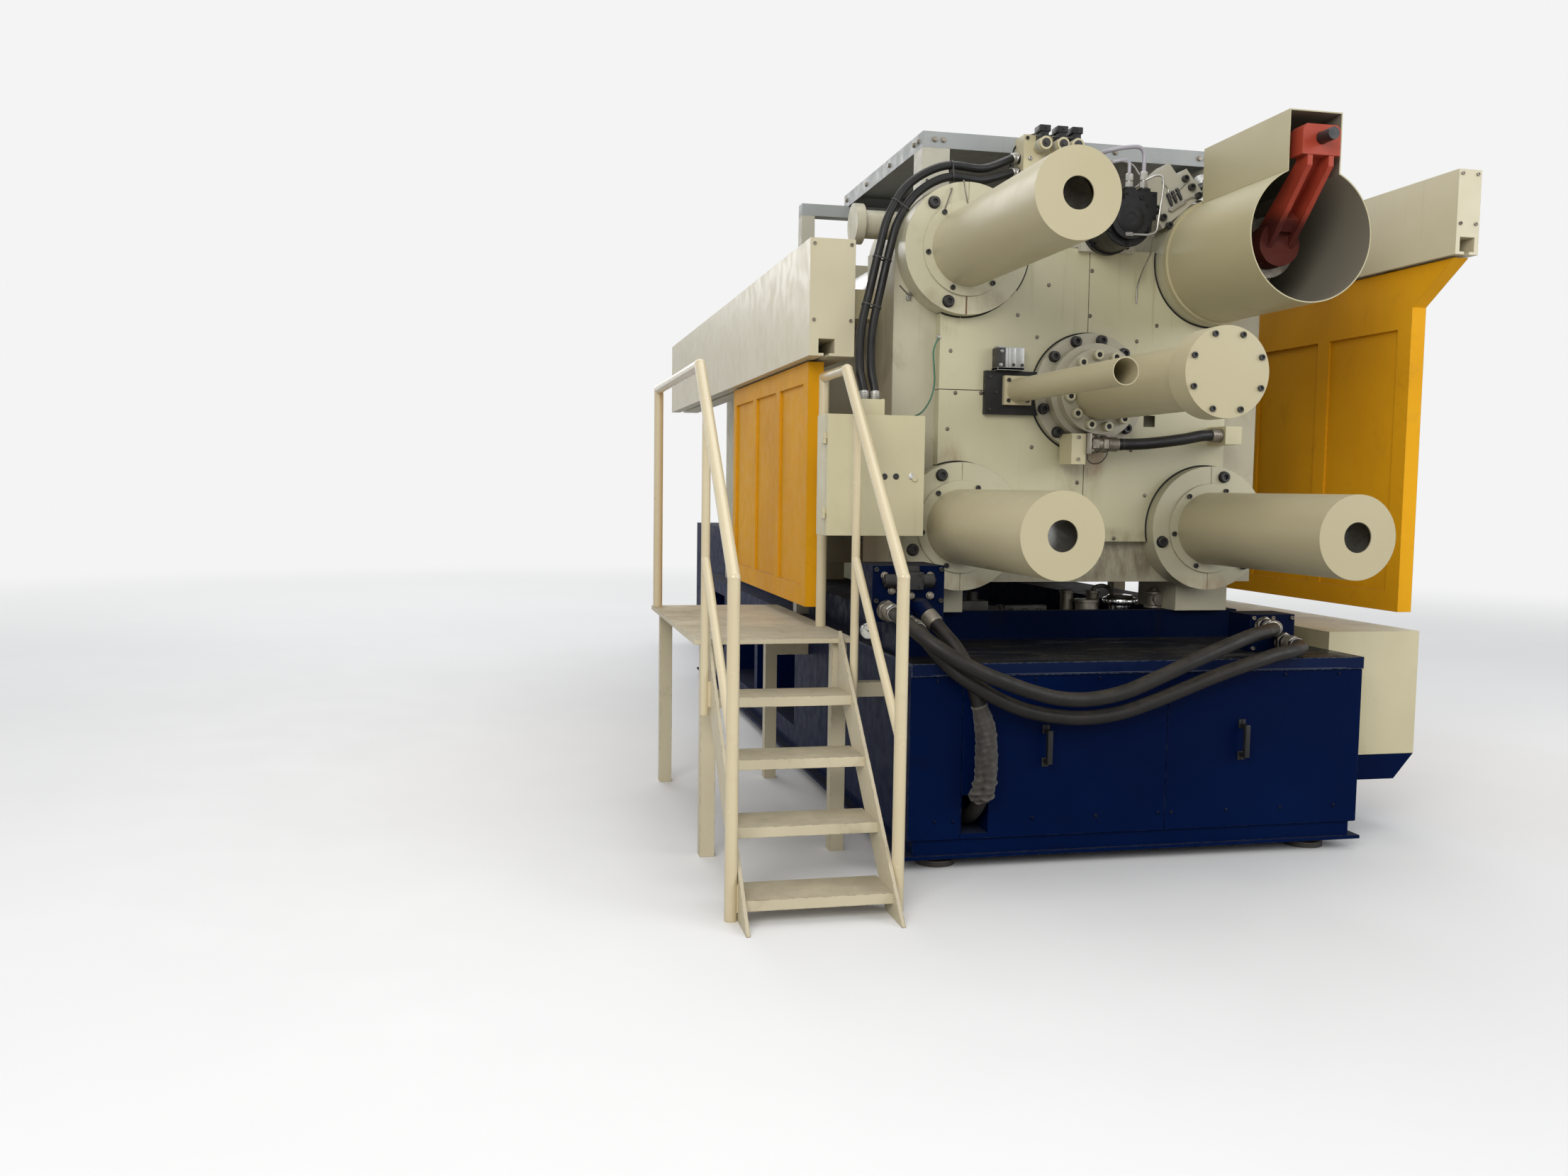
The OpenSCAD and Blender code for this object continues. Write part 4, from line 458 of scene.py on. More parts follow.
FINISH = {
    "cream": ["side_tank_cover", "clamp_port_block", "injection_frame", "beam_brackets", "valve_manifold"],
    "cover": ["platen_cover"],
    "flange": ["bar_flanges"],
    "hub": ["clamp_hub"],
    "guard": ["puller_guard", "slot_housing"],
    "casting": ["platen_shoes", "end_platen", "moving_platen", "fixed_platen"],
    "tube": ["bar_covers", "clamp_tail", "ratchet_tube"],
    "grey_cream": ["roof_posts", "motor_shelf", "bar_lock_block"],
    "roof": ["roof_sheet"],
    "beam": ["rail_beams"],
    "cabinet": ["side_cabinet", "cabinet_door"],
    "navy": ["base_tank", "front_panels", "main_bed", "skid_frame", "side_tank", "shot_cylinder",
             "accumulators", "injection_base"],
    "navy_dull": ["bed_rails", "valve_stand"],
    "deck": ["deck_plate"],
    "steel": ["tie_bar_nuts", "shot_sleeve"],
    "dirty_steel": ["pulled_tie_bar"],
    "bar_steel": ["fixed_tie_bars", "clamp_cylinder", "pull_cylinder"],
    "toggle": ["toggle_linkage"],
    "iron": ["levelling_pads"],
    "plate": ["ratchet_plate"],
    "black": ["pull_rod"],
    "motor": ["height_motor"],
    "alloy": ["latch_cylinder"],
    "red": ["puller_arm"],
    "yellow": ["right_door", "left_door"],
    "rail": ["handrails"],
    "ladder": ["ladder", "platform"],
    "rubber": ["upper_supply_hose", "lower_supply_hose", "sleeved_hose"],
    "rubber_dark": ["clamp_supply_hose", "side_hoses"],
}
for key, names in FINISH.items():
    for name in names:
        data = nodes[name].data
        if not data.materials:
            data.materials.append(M[key])
        for i in range(len(data.materials)):
            data.materials[i] = M[key]

# Meshes in the machine's millimetres


def across(axis):
    a = Vector(axis).normalized()
    u = Vector((0, 0, 1)) if abs(a.z) < 0.9 else Vector((1, 0, 0))
    u = (u - a * u.dot(a)).normalized()
    return a, u, a.cross(u)


def hexagon(r):
    """Outline of a hexagon, r to its corners, as a function of the angle."""
    w = math.pi / 3
    return lambda t: r * math.cos(w / 2) / math.cos((t % w) - w / 2)


def ring(centre, u, w, r, sides, spin=0.0):
    """Points round a centre in the plane of u and w; r is a radius or a function of the angle."""
    points = []
    for k in range(sides):
        th = 2 * math.pi * k / sides + spin
        reach = r(th - spin) if callable(r) else r
        points.append(centre + (u * math.cos(th) + w * math.sin(th)) * reach)
    return points


def skin(count, sides, ends=True):
    """Faces between rings of points that follow each other, with the first and last ring closed."""
    faces = []
    for i in range(count - 1):
        for k in range(sides):
            k2 = (k + 1) % sides
            faces.append((i * sides + k, i * sides + k2, (i + 1) * sides + k2, (i + 1) * sides + k))
    if ends:
        faces.append(tuple(range(sides - 1, -1, -1)))
        faces.append(tuple((count - 1) * sides + k for k in range(sides)))
    return faces


# The frame's slots, with the materials that belong to each; a piece may name another
SLOT = {
    "black_steel": ["black"],
    "machined_steel": ["nickel", "dirty_steel", "chrome", "steel"],
    "hose_rubber": ["rubber_dark", "green"],
    "cream_paint": ["rust", "flange", "pipe", "grey_cream", "dial"],
    "black_paint": ["void", "motor", "plate", "iron"],
    "aluminium": ["alloy"],
    "navy_paint": ["pale_lip_strip", "navy_dull"],
    "sleeve_fabric": ["sleeve"],
}


class Piece:
    """One mesh, gathered in the machine's millimetres."""

    def __init__(self):
        self.v, self.f, self.m = [], [], []

    def add(self, verts, faces, mat=0):
        base = len(self.v)
        self.v += [Vector(p) for p in verts]
        self.f += [tuple(base + i for i in f) for f in faces]
        self.m += [mat] * len(faces)

    def box(self, x0, x1, y0, y1, z0, z1, ch=0, mat=0):
        """A block with chamfered edges."""
        c = min(ch, (x1 - x0) / 3, (y1 - y0) / 3, (z1 - z0) / 3)
        if c <= 0:
            p = [(x, y, z) for z in (z0, z1) for y in (y0, y1) for x in (x0, x1)]
            self.add(p, [(0, 2, 3, 1), (4, 5, 7, 6), (0, 1, 5, 4), (2, 6, 7, 3), (0, 4, 6, 2), (1, 3, 7, 5)],
                     mat)
            return
        bm = bmesh.new()
        bmesh.ops.create_cube(bm, size=1)
        for w in bm.verts:
            w.co = Vector((x0 if w.co.x < 0 else x1, y0 if w.co.y < 0 else y1, z0 if w.co.z < 0 else z1))
        bmesh.ops.bevel(bm, geom=bm.edges[:], offset=c, segments=2, profile=0.6, affect="EDGES")
        bm.verts.ensure_lookup_table()
        for i, w in enumerate(bm.verts):
            w.index = i
        self.add([w.co.copy() for w in bm.verts], [[w.index for w in f.verts] for f in bm.faces], mat)
        bm.free()

    def turned(self, at, axis, profile, sides=24, mat=0, closed=True, spin=0.0):
        """Rings about an axis. Each profile entry is (radius or a function of the angle, distance along)."""
        a, u, w = across(axis)
        at = Vector(at)
        verts, rows = [], []
        for r, t in profile:
            centre = at + a * t
            point = not callable(r) and r <= 1e-6
            row = [centre] if point else ring(centre, u, w, r, sides, spin)
            rows.append(list(range(len(verts), len(verts) + len(row))))
            verts += row
        faces = []
        for p, q in zip(rows[:-1], rows[1:]):
            for k in range(sides):
                k2 = (k + 1) % sides
                if len(p) == 1 and len(q) > 1:
                    faces.append((p[0], q[k2], q[k]))
                elif len(q) == 1 and len(p) > 1:
                    faces.append((p[k], p[k2], q[0]))
                elif len(p) > 1:
                    faces.append((p[k], p[k2], q[k2], q[k]))
        if closed:
            if len(rows[0]) > 1:
                faces.append(tuple(reversed(rows[0])))
            if len(rows[-1]) > 1:
                faces.append(tuple(rows[-1]))
        self.add(verts, faces, mat)

    def socket(self, at, axis, d, h, spin=0.3, sides=18):
        """Socket head cap screw with its hexagon recess."""
        r = d / 2
        hexa = hexagon(r * 0.56)
        self.turned(at, axis, [(r * 0.97, -1), (r, 1), (r, h - r * 0.14), (r * 0.86, h), (r * 0.66, h),
                               (hexa, h - 0.5), (hexa, h * 0.42), (0, h * 0.36)], sides, spin=spin)

    def row(self, spots, y, d, h):
        """Socket screws in places on one face that looks forward."""
        for x, z in spots:
            self.socket((x, y, z), FRONT, d, h, spin=x)

    def hexhead(self, at, axis, d, h, washer=1.0):
        """Hexagon head or nut on a washer, d across its corners."""
        wr = d / 2 * 1.15 * washer
        self.turned(at, axis, [(wr, -1), (wr, 2), (wr - 1, 2.8), (d * 0.4, 2.8)], 18)
        hexa = hexagon(d / 2)
        low = lambda t: min(hexa(t), d / 2 * 0.93)
        top = h + 2.8
        self.turned(at, axis, [(hexa, 1), (hexa, top - d * 0.05), (low, top), (d * 0.36, top + 0.4),
                               (0, top + 0.4)], 18, spin=0.2)

    def panhead(self, at, axis, d, spin=0.4):
        """Small round head with a hexagon recess."""
        r = d / 2
        hexa = hexagon(r * 0.42)
        self.turned(at, axis, [(r, -0.6), (r, r * 0.12), (r * 0.93, r * 0.42), (r * 0.68, r * 0.66),
                               (hexa, r * 0.7), (hexa, r * 0.3), (0, r * 0.26)], 12, spin=spin)

    def sweep(self, pts, r, sides=10):
        """A tube through points; r is one radius or one for each point."""
        pts = [Vector(p) for p in pts]
        n = len(pts)
        radii = r if hasattr(r, "__len__") else [r] * n
        side = across((pts[1] - pts[0]).normalized())[1]
        verts = []
        for i in range(n):
            along = (pts[min(i + 1, n - 1)] - pts[max(i - 1, 0)]).normalized()
            side = (side - along * side.dot(along)).normalized()
            verts += ring(pts[i], side, along.cross(side), radii[i], sides)
        self.add(verts, skin(n, sides))

    def rings(self, route, start, profile, sides=24):
        """Rings on a hose. Each profile entry is (radius, distance from start)."""
        side = across(route.along(start))[1]
        verts = []
        for r, t in profile:
            a = route.along(start + t)
            side = (side - a * side.dot(a)).normalized()
            verts += ring(route.at(start + t), side, a.cross(side), r, sides)
        self.add(verts, skin(len(profile), sides))

    def slab(self, outline, y0, y1, mat=0):
        """A flat outline in x and z, given as points on one face, with its thickness along y."""
        n = len(outline)
        faces = [tuple(range(n)), tuple(range(2 * n - 1, n - 1, -1))]
        faces += [(i, (i + 1) % n, (i + 1) % n + n, i + n) for i in range(n)]
        self.add([p + Vector((0, dy, 0)) for dy in (y0, y1) for p in outline], faces, mat)

    def make(self, name, *mats, body="machine", slot=None, sharp=35):
        """The object, smooth up to the angle sharp, on its body."""
        me = bpy.data.meshes.new(name)
        me.from_pydata([P(*v) for v in self.v], [], self.f)
        for m in mats:
            me.materials.append(M[m])
        for poly, k in zip(me.polygons, self.m):
            poly.material_index = k
        me.validate()
        bm = bmesh.new()
        bm.from_mesh(me)
        bmesh.ops.recalc_face_normals(bm, faces=bm.faces)
        for e in bm.edges:
            e.smooth = len(e.link_faces) == 2 and e.calc_face_angle(0) < math.radians(sharp)
        for f in bm.faces:
            f.smooth = True
        bm.to_mesh(me)
        bm.free()
        ob = add_object(name, me)
        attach(ob, body)
        slot = slot or next(s for s, keys in SLOT.items() if mats[0] in keys)
        return ob


def polar(cx, cz, r, deg, y):
    return (cx + r * math.cos(math.radians(deg)), y, cz + r * math.sin(math.radians(deg)))


def bent(points, radius, parts=6):
    """A path through points with its corners rounded."""
    p = [Vector(q) for q in points]
    out = [p[0]]
    for a, b, c in zip(p[:-2], p[1:-1], p[2:]):
        u, w = a - b, c - b
        d = min(radius, u.length * 0.49, w.length * 0.49)
        start, end = b + u.normalized() * d, b + w.normalized() * d
        for k in range(parts + 1):
            t = k / parts
            out.append(start * (1 - t) ** 2 + b * 2 * t * (1 - t) + end * t * t)
    out.append(p[-1])
    return out


class Route:
    """Places along a hose by their distance from its start."""

    def __init__(self, pts):
        self.p = [Vector(q) for q in pts]
        self.s = [0.0]
        for a, b in zip(self.p[:-1], self.p[1:]):
            self.s.append(self.s[-1] + (b - a).length)
        self.length = self.s[-1]

    def at(self, s):
        s = min(max(s, 0), self.length - 1e-6)
        i = max(k for k, v in enumerate(self.s[:-1]) if v <= s)
        return self.p[i].lerp(self.p[i + 1], (s - self.s[i]) / (self.s[i + 1] - self.s[i]))

    def along(self, s):
        return (self.at(s + 3) - self.at(s - 3)).normalized()

    def back(self):
        return Route(self.p[::-1])


# Hoses

UPPER_HOSE = [
    (-1031, -470.3, 1011), (-1031, -505, 1011), (-1034, -590, 1006), (-1018, -682, 980),
    (-970, -757, 931), (-890, -802, 874), (-790, -820, 820), (-680, -821, 775), (-560, -813, 733),
    (-440, -806, 704), (-310, -799, 699), (-170, -793, 723), (-25, -789, 777), (130, -783, 840),
    (290, -757, 895), (430, -700, 926), (550, -616, 932), (650, -503, 930), (650, -452, 930)]
LOWER_HOSE = [
    (-930, -462.3, 950), (-930, -497, 950), (-934, -575, 940), (-925, -655, 905), (-893, -717, 852),
    (-838, -755, 797), (-756, -769, 743), (-662, -760, 692), (-564, -748, 653), (-446, -739, 626),
    (-315, -735, 614), (-170, -735, 628), (-35, -735, 666), (105, -735, 716), (250, -732, 768),
    (390, -731, 812), (513, -719, 845), (602, -701, 858), (677, -651, 862), (727, -576, 862),
    (745, -487, 862), (745, -452, 862)]
SLEEVED_HOSE = [
    (-880, -500, 1000), (-866, -527, 977), (-838, -583, 930), (-811, -639, 884), (-785, -680, 826),
    (-760, -698, 757), (-737, -702, 683), (-714, -700, 606), (-699, -698, 528), (-694, -700, 450),
    (-697, -697, 372), (-702, -675, 307), (-708, -635, 251), (-712, -581, 209), (-714, -516, 185),
    (-715, -468, 180), (-715, -378, 180)]
CLAMP_HOSE = [
    (43.3, -130, 1700), (90, -130, 1700), (230, -128, 1706), (402, -122, 1728), (500, -114, 1746),
    (560, -110, 1750), (600, -110, 1750)]
SIDE_HOSE_1 = [
    (-315.3, 70, 2875), (-350, 70, 2875), (-505, 14, 2822), (-672, -10, 2818), (-805, -20, 2743),
    (-888, -30, 2626), (-927, -40, 2500), (-965, -50, 2340), (-1008, -80, 2160), (-1030, -145, 2000),
    (-1022, -175, 1900), (-1022, -175, 1860.3)]
SIDE_HOSE_2 = [
    (-315.3, 70, 2935), (-350, 70, 2935), (-500, 18, 2872), (-682, -8, 2866), (-840, -20, 2780),
    (-930, -30, 2645), (-972, -40, 2502), (-1011, -50, 2340), (-1057, -80, 2160), (-1079, -145, 2000),
    (-1070, -175, 1900), (-1070, -175, 1860.3)]


def smoothed(points, parts=8):
    """The route that the source gives, rounded between its points."""
    p = [Vector(q) for q in points]
    n = len(p) - 1
    out = []
    for i in range(n):
        a, b, c, d = p[max(i - 1, 0)], p[i], p[i + 1], p[min(i + 2, n)]
        for k in range(parts):
            t = k / parts
            out.append(0.5 * ((2 * b) + (c - a) * t + (2 * a - 5 * b + 4 * c - d) * t * t
                              + (3 * b - a - 3 * c + d) * t ** 3))
    out.append(p[n])
    return out


def ferrule(piece, route, r, length):
    """Crimped sleeve on the end of a hose, with its pressed grooves."""
    prof = [(r + 0.4, 0.6), (r + 5, 1.2)]
    step = length / 5
    for k in range(5):
        t = 1.2 + k * step
        prof += [(r + 6, t + step * 0.12), (r + 6, t + step * 0.62), (r + 4.6, t + step * 0.72),
                 (r + 4.6, t + step * 0.94)]
    prof += [(r + 5, length + 1), (r + 3.2, length + 4), (r + 0.3, length + 4.6)]
    piece.rings(route, 0, prof, 24)


def band_clamp(piece, route, at, r, turn=0.0, wide=13):
    """Steel band round a hose with its worm screw."""
    piece.rings(route, at, [(r + 0.2, 0), (r + 1.7, 0.5), (r + 1.9, wide - 0.5), (r + 0.2, wide)], 28)
    c, a = route.at(at + wide / 2), route.along(at + wide / 2)
    _, u, w = across(a)
    out = u * math.cos(turn) + w * math.sin(turn)
    tangent = a.cross(out)
    housing = c + out * (r + 6)
    piece.turned(housing - tangent * 11, tangent, [(0, 0), (5, 0), (6, 1.5), (6, 20), (5, 21.5), (0, 21.5)],
                 12)
    piece.hexhead(housing + tangent * 10, tangent, 11, 5)


def cable_tie(piece, route, at, r, turn=0.5, tail=34):
    """Nylon tie with its lock and cut tail."""
    piece.rings(route, at, [(r + 0.2, 0), (r + 1.4, 0.4), (r + 1.4, 6.6), (r + 0.2, 7)], 24)
    c, a = route.at(at + 3.5), route.along(at + 3.5)
    _, u, w = across(a)
    out = u * math.cos(turn) + w * math.sin(turn)
    tangent = a.cross(out)
    lock = c + out * (r + 2)
    piece.turned(lock - tangent * 4, tangent, [(0, 0), (4.5, 0), (5, 0.8), (5, 7.5), (0, 8)], 8)
    piece.sweep([lock + out * 1, lock + out * tail * 0.5 + tangent * 3, lock + out * tail + tangent * 9],
                [1.7, 1.6, 1.1], 6)


def supply_dress(name, route, r):
    steel, ends = Piece(), Piece()
    for line in (route, route.back()):
        ferrule(ends, line, r, 58)
        band_clamp(steel, line, 82, r, 0.6)
    return [ends.make(name + "_ferrules", "dirty_steel"),
            steel.make(name + "_bands", "nickel")]


def wrinkle(f, th, r, amount):
    """Folds of the loose sleeve at the share f of its length and the angle th."""
    low = max(0.0, (f - 0.62) / 0.38)
    long_folds = 2.2 * math.sin(3 * th + 5.2 * f) + 1.5 * math.sin(5 * th - 9 * f + 1.3)
    long_folds += 0.9 * math.sin(9 * th + 14 * f)
    cross = math.sin(2 * math.pi * (9 * f + 0.22 * math.sin(th * 2 + 3 * f) + 0.12 * math.sin(3 * th + 1)))
    deep = math.sin(2 * math.pi * (15 * f + 0.30 * math.sin(th + 0.8) + 0.1 * math.sin(4 * th)))
    sharp = abs(cross) ** 0.5 * math.copysign(1, cross)
    return r - 2.5 + amount * (1.15 * long_folds + 2.0 * sharp * (0.6 + 1.2 * low) + 3.4 * deep
                               * (0.25 + low))


def sleeve_dress(name, route, r):
    ends = Piece()
    ferrule(ends, route, r, 52)
    top = next(s for s in range(0, int(route.length), 2) if route.at(s).z < 668)
    low = next(s for s in range(0, int(route.length), 2) if route.at(s).z < 298)
    cloth = Piece()
    rows, sides = 92, 36
    verts = []
    shape = [(0, 31), (0.06, 35), (0.16, 41), (0.3, 43.5), (0.5, 44.5), (0.68, 45.5), (0.82, 46.5),
             (0.92, 47), (0.97, 43), (1.0, 37)]

    def width(f):
        for (a, ra), (b, rb) in zip(shape[:-1], shape[1:]):
            if f <= b:
                return ra + (rb - ra) * (f - a) / (b - a)
        return shape[-1][1]

    side = Vector((1, 0, 0))
    for i in range(rows + 3):
        f = min(i, rows) / rows
        s = top + (low - top) * f
        centre, a = route.at(s), route.along(s)
        sag = max(0.0, (f - 0.70) / 0.30)
        centre = centre + Vector((-13 * sag ** 1.5, -9 * sag, -4 * math.sin(f * 9)))
        side = (side - a * side.dot(a)).normalized()
        w = a.cross(side)
        tuck = (0, 4, 9)[max(0, i - rows)]
        for k in range(sides):
            th = 2 * math.pi * k / sides
            rr = wrinkle(f, th, width(f), min(1, 6 * f)) if i <= rows else max(29.5, width(1) - tuck * 0.9)
            slant = 11 * sag * math.cos(th + 2.2)
            verts.append(centre + (side * math.cos(th) + w * math.sin(th)) * rr + a * (slant - tuck))
    cloth.add(verts, skin(rows + 3, sides, ends=False))
    tie = Piece()
    tie.rings(route, top - 3, [(30, 0), (32.4, 1), (33, 5), (32.4, 9), (30, 10)], 28)
    return [ends.make(name + "_ferrule", "dirty_steel"),
            cloth.make(name + "_sleeve", "sleeve", sharp=80),
            tie.make(name + "_tie", "sleeve")]


def clamp_dress(name, route, r):
    ends, tie = Piece(), Piece()
    ferrule(ends, route, r, 46)
    ferrule(ends, route.back(), r, 46)
    cable_tie(tie, route, 66, r, -1.9, 26)
    return [ends.make(name + "_ferrules", "dirty_steel"),
            tie.make(name + "_tie", "black", slot="black_paint")]


def side_dress(name, route, r):
    ends = Piece()
    ferrule(ends, route, r, 34)
    ferrule(ends, route.back(), r, 30)
    return [ends.make(name + "_ferrules", "nickel")]


def hose(name, points, d, mat, dress):
    route = smoothed(points)
    curve = bpy.data.curves.new(name, "CURVE")
    curve.dimensions = "3D"
    spline = curve.splines.new("POLY")
    spline.points.add(len(route) - 1)
    for q, r in zip(spline.points, route):
        q.co = (*P(*r), 1)
    curve.bevel_depth = d / 2000
    curve.bevel_resolution = 4
    curve.use_fill_caps = True
    curve.materials.append(M[mat])
    ob = add_object(name, curve)
    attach(ob, "machine")
    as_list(dress(name, Route(route), d / 2))
    return ob, Route(route)


made = {}
for name, pts, d, mat, dress, node in (
        ("hose_upper", UPPER_HOSE, 58, "rubber", supply_dress, "upper_supply_hose"),
        ("hose_lower", LOWER_HOSE, 58, "rubber", supply_dress, "lower_supply_hose"),
        ("hose_sleeved", SLEEVED_HOSE, 58, "rubber", sleeve_dress, "sleeved_hose"),
        ("hose_clamp", CLAMP_HOSE, 50, "rubber_dark", clamp_dress, "clamp_supply_hose"),
        ("hose_side_1", SIDE_HOSE_1, 36, "rubber_dark", side_dress, "side_hoses"),
        ("hose_side_2", SIDE_HOSE_2, 36, "rubber_dark", side_dress, "side_hoses")):
    ob, made[name] = hose(name, pts, d, mat, dress)
    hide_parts(node)

# Light and floor

BACKDROP = (0.90, 0.905, 0.90)


def area(name, at, aim, size, power, colour=(1, 1, 1)):
    data = bpy.data.lights.new(name, "AREA")
    data.shape = "RECTANGLE"
    data.size, data.size_y = size
    data.energy = power
    data.color = colour
    ob = add_object(name, data)
    ob.location = at
    ob.rotation_euler = (Vector(aim) - Vector(at)).to_track_quat("-Z", "Y").to_euler()


def world_light():
    """Even light from all round; the camera, gloss and glass see the backdrop."""
    world = bpy.data.worlds.new("studio")
    tree = Tree(world)
    light = tree.node("Background", Color=(0.93, 0.95, 1.0), Strength=0.54).outputs[0]
    seen = tree.node("Background", Color=BACKDROP, Strength=1.0).outputs[0]
    path = tree.node("LightPath").outputs
    direct = tree.math("MAXIMUM", path["Is Camera Ray"], path["Is Glossy Ray"])
    direct = tree.math("MAXIMUM", direct, path["Is Transmission Ray"])
    tree.node("OutputWorld", Surface=tree.blend(direct, light, seen))
    bpy.context.scene.world = world


def floor_paint():
    """Pale floor that fades into the backdrop and throws back less light than it shows."""
    g = Graph("studio_floor")
    camera_ray = g.node("LightPath").outputs["Is Camera Ray"]
    colour = g.mix(g.band(g.noise(0.4, 4)), (0.80, 0.797, 0.79), (0.775, 0.772, 0.765))
    colour = g.mix(camera_ray, (0.52, 0.515, 0.505), colour)
    rough = g.band(g.noise(3, 4), to_lo=0.6, to_hi=0.7)
    g.finish(colour, rough, g.noise(40, 3), 0.01, 0.001, Specular_IOR_Level=0.2)
    far = g.band(g.vector("LENGTH", g.co, out="Value"), 4.5, 17)
    haze = g.node("Emission", Color=BACKDROP).outputs[0]
    g.put(g.blend(g.mul(far, camera_ray), g.bsdf.outputs[0], haze), g.out.inputs[0])
    return g.mat


def surroundings():
    area("key", (-5.2, -11.5, 5.8), (0, -2.5, 1.4), (6, 5), 600, (1.0, 0.985, 0.955))
    area("fill", (7.5, -9.0, 4.5), (0, -2.0, 1.2), (6, 5), 350, (0.95, 0.975, 1.0))
    area("top", (0, 0.5, 10.5), (0, 0.5, 0), (8, 12), 430)
    area("back", (-4.5, 10.5, 7.0), (0, 2, 1), (6, 6), 280)
    world_light()
    bm = bmesh.new()
    bmesh.ops.create_circle(bm, cap_ends=True, segments=64, radius=45)
    me = bpy.data.meshes.new("floor")
    bm.to_mesh(me)
    bm.free()
    me.materials.append(floor_paint())
    floor = add_object("floor", me)
    bpy.context.scene.view_settings.view_transform = "Standard"


surroundings()

# Fasteners and trim of the clamp end


def flange_bolts():
    big, small = Piece(), Piece()
    starts = {(-BX, HIGH): (130, 250, 10), (-BX, LOW): (113, 205, 330), (BX, LOW): (195, 75, 318),
              (BX, HIGH): ()}
    for (x, z), angles in starts.items():
        for a in angles:
            at = polar(x, z, 239, a, -62)
            big.socket(at, FRONT, 46, 20, spin=a * 0.1)
            big.turned(at, FRONT, [(27, -1), (27, 1.2), (24.5, 1.6), (23, 0.6)], 24)
    for x, z in ((-BX, HIGH), (-BX, LOW), (BX, LOW)):
        for k in range(6):
            small.socket(polar(x, z, 181, 128 + 60 * k, -74), FRONT, 22, 10, spin=k)
    big.make("flange_bolts", "black")
    small.make("ring_bolts", "black")


def hub_bolts():
    b = Piece()
    for k in range(12):
        at = polar(0, AX, 232, 19 + 30 * k, -40)
        b.socket(at, FRONT, 42, 26, spin=k * 0.7)
        b.turned(at, FRONT, [(25, -1), (25, 2), (23.5, 3), (20, 3)], 24)
    b.make("hub_flange_bolts", "black")
    # The face bolts' socket recesses are filled with near-black hexagons: painted shade.
    c, holes = Piece(), Piece()
    for k in range(12):
        at = polar(0, AX, 154, 10 + 30 * k, -150)
        c.socket(at, FRONT, 44, 34, spin=k * 0.5, sides=24)
        hexa = hexagon(12)
        holes.turned(at, FRONT, [(hexa, 14), (hexa, 31)], 18, spin=k * 0.5)
    c.make("hub_face_bolts", "flange")
    holes.make("hub_face_bolt_sockets", "void")
    t = Piece()
    for k in range(8):
        t.socket(polar(0, AX, 143, 22.5 + 45 * k, -1150), FRONT, 22, 10, spin=k)
    t.make("tail_cap_screws", "black")


def seal_lips_and_shadow():
    """Dark seal lips round the flanges, on the cover only, a painted shadow by one, and what shows in two
    slots.
    """
    lip, key, slot = Piece(), Piece(), Piece()
    big, steps = 281, 289
    side, low, top = 682, 1273, 2553
    whole = [(-BX, HIGH, big, 0), (-BX, LOW, big, 0), (BX, LOW, big, 0), (BX, HIGH, big, 0),
             (0, AX, 262.5, 0)]
    # Right of the upper left flange the dark lip is widened into a curved band: painted shadow of the flange
    # on the cover.
    flange_shadow = [(-BX + 8, HIGH + 3.5, big, 282), (-BX + 15.5, HIGH + 7, big, 288),
                (-BX + 23, HIGH + 10, big, 294)]
    for x, z, r, reach in whole + flange_shadow:
        run = []
        for k in range(steps):
            q = polar(x, z, r, -90 + 1.25 * k, 0)
            on_cover = abs(q[0]) < side and low < q[2] < top and k < steps - 1
            if on_cover and math.hypot(q[0] + BX, q[2] - HIGH) > reach:
                run.append(q)
            elif run:
                if len(run) > 3:
                    lip.sweep(run, 3.6, 8)
                run = []
        if run:
            lip.sweep(run, 3.6, 8)
    lip.make("flange_seal_lips_and_shadow", "rubber_dark")
    key.box(-BX - 3.5, -BX + 3.5, -62.9, -60, 2240, 2315, 0.4)
    key.make("flange_key", "rust")
    # The post's slot is a flat near-black oval: painted shade in the slot.
    oval = lambda t: 16 / max(abs(math.cos(t)), abs(math.sin(t)) * 2.4, 0.01)
    slot.turned((-690, 200, 2841), FRONT, [(oval, -0.5), (oval, 0.3), (0, 0.3)], 24)
    slot.make("post_slot", "void")


def cover_screws():
    s = Piece()
    spots = [(-238, 2164), (236, 2162), (11, 2460), (8, 2265), (-634, 2091), (-608, 1912), (-491, 1914),
             (-641, 1756), (-250, 1685), (225, 1681), (-29, 1533), (156, 1286), (-639, 1595), (-150, 1286),
             (634, 2091), (641, 1756), (639, 1595), (-35, 1286), (480, 1900), (-330, 2255), (330, 2235),
             (-300, 1480), (300, 1480), (-190, 2390)]
    for i, (x, z) in enumerate(spots):
        s.panhead((x, 0, z), FRONT, 15, spin=i)
        s.turned((x, 0, z), FRONT, [(9.5, -0.5), (9.5, 0.8), (8.8, 1.1), (7, 1.1)], 14)
    s.make("cover_screws", "dirty_steel")


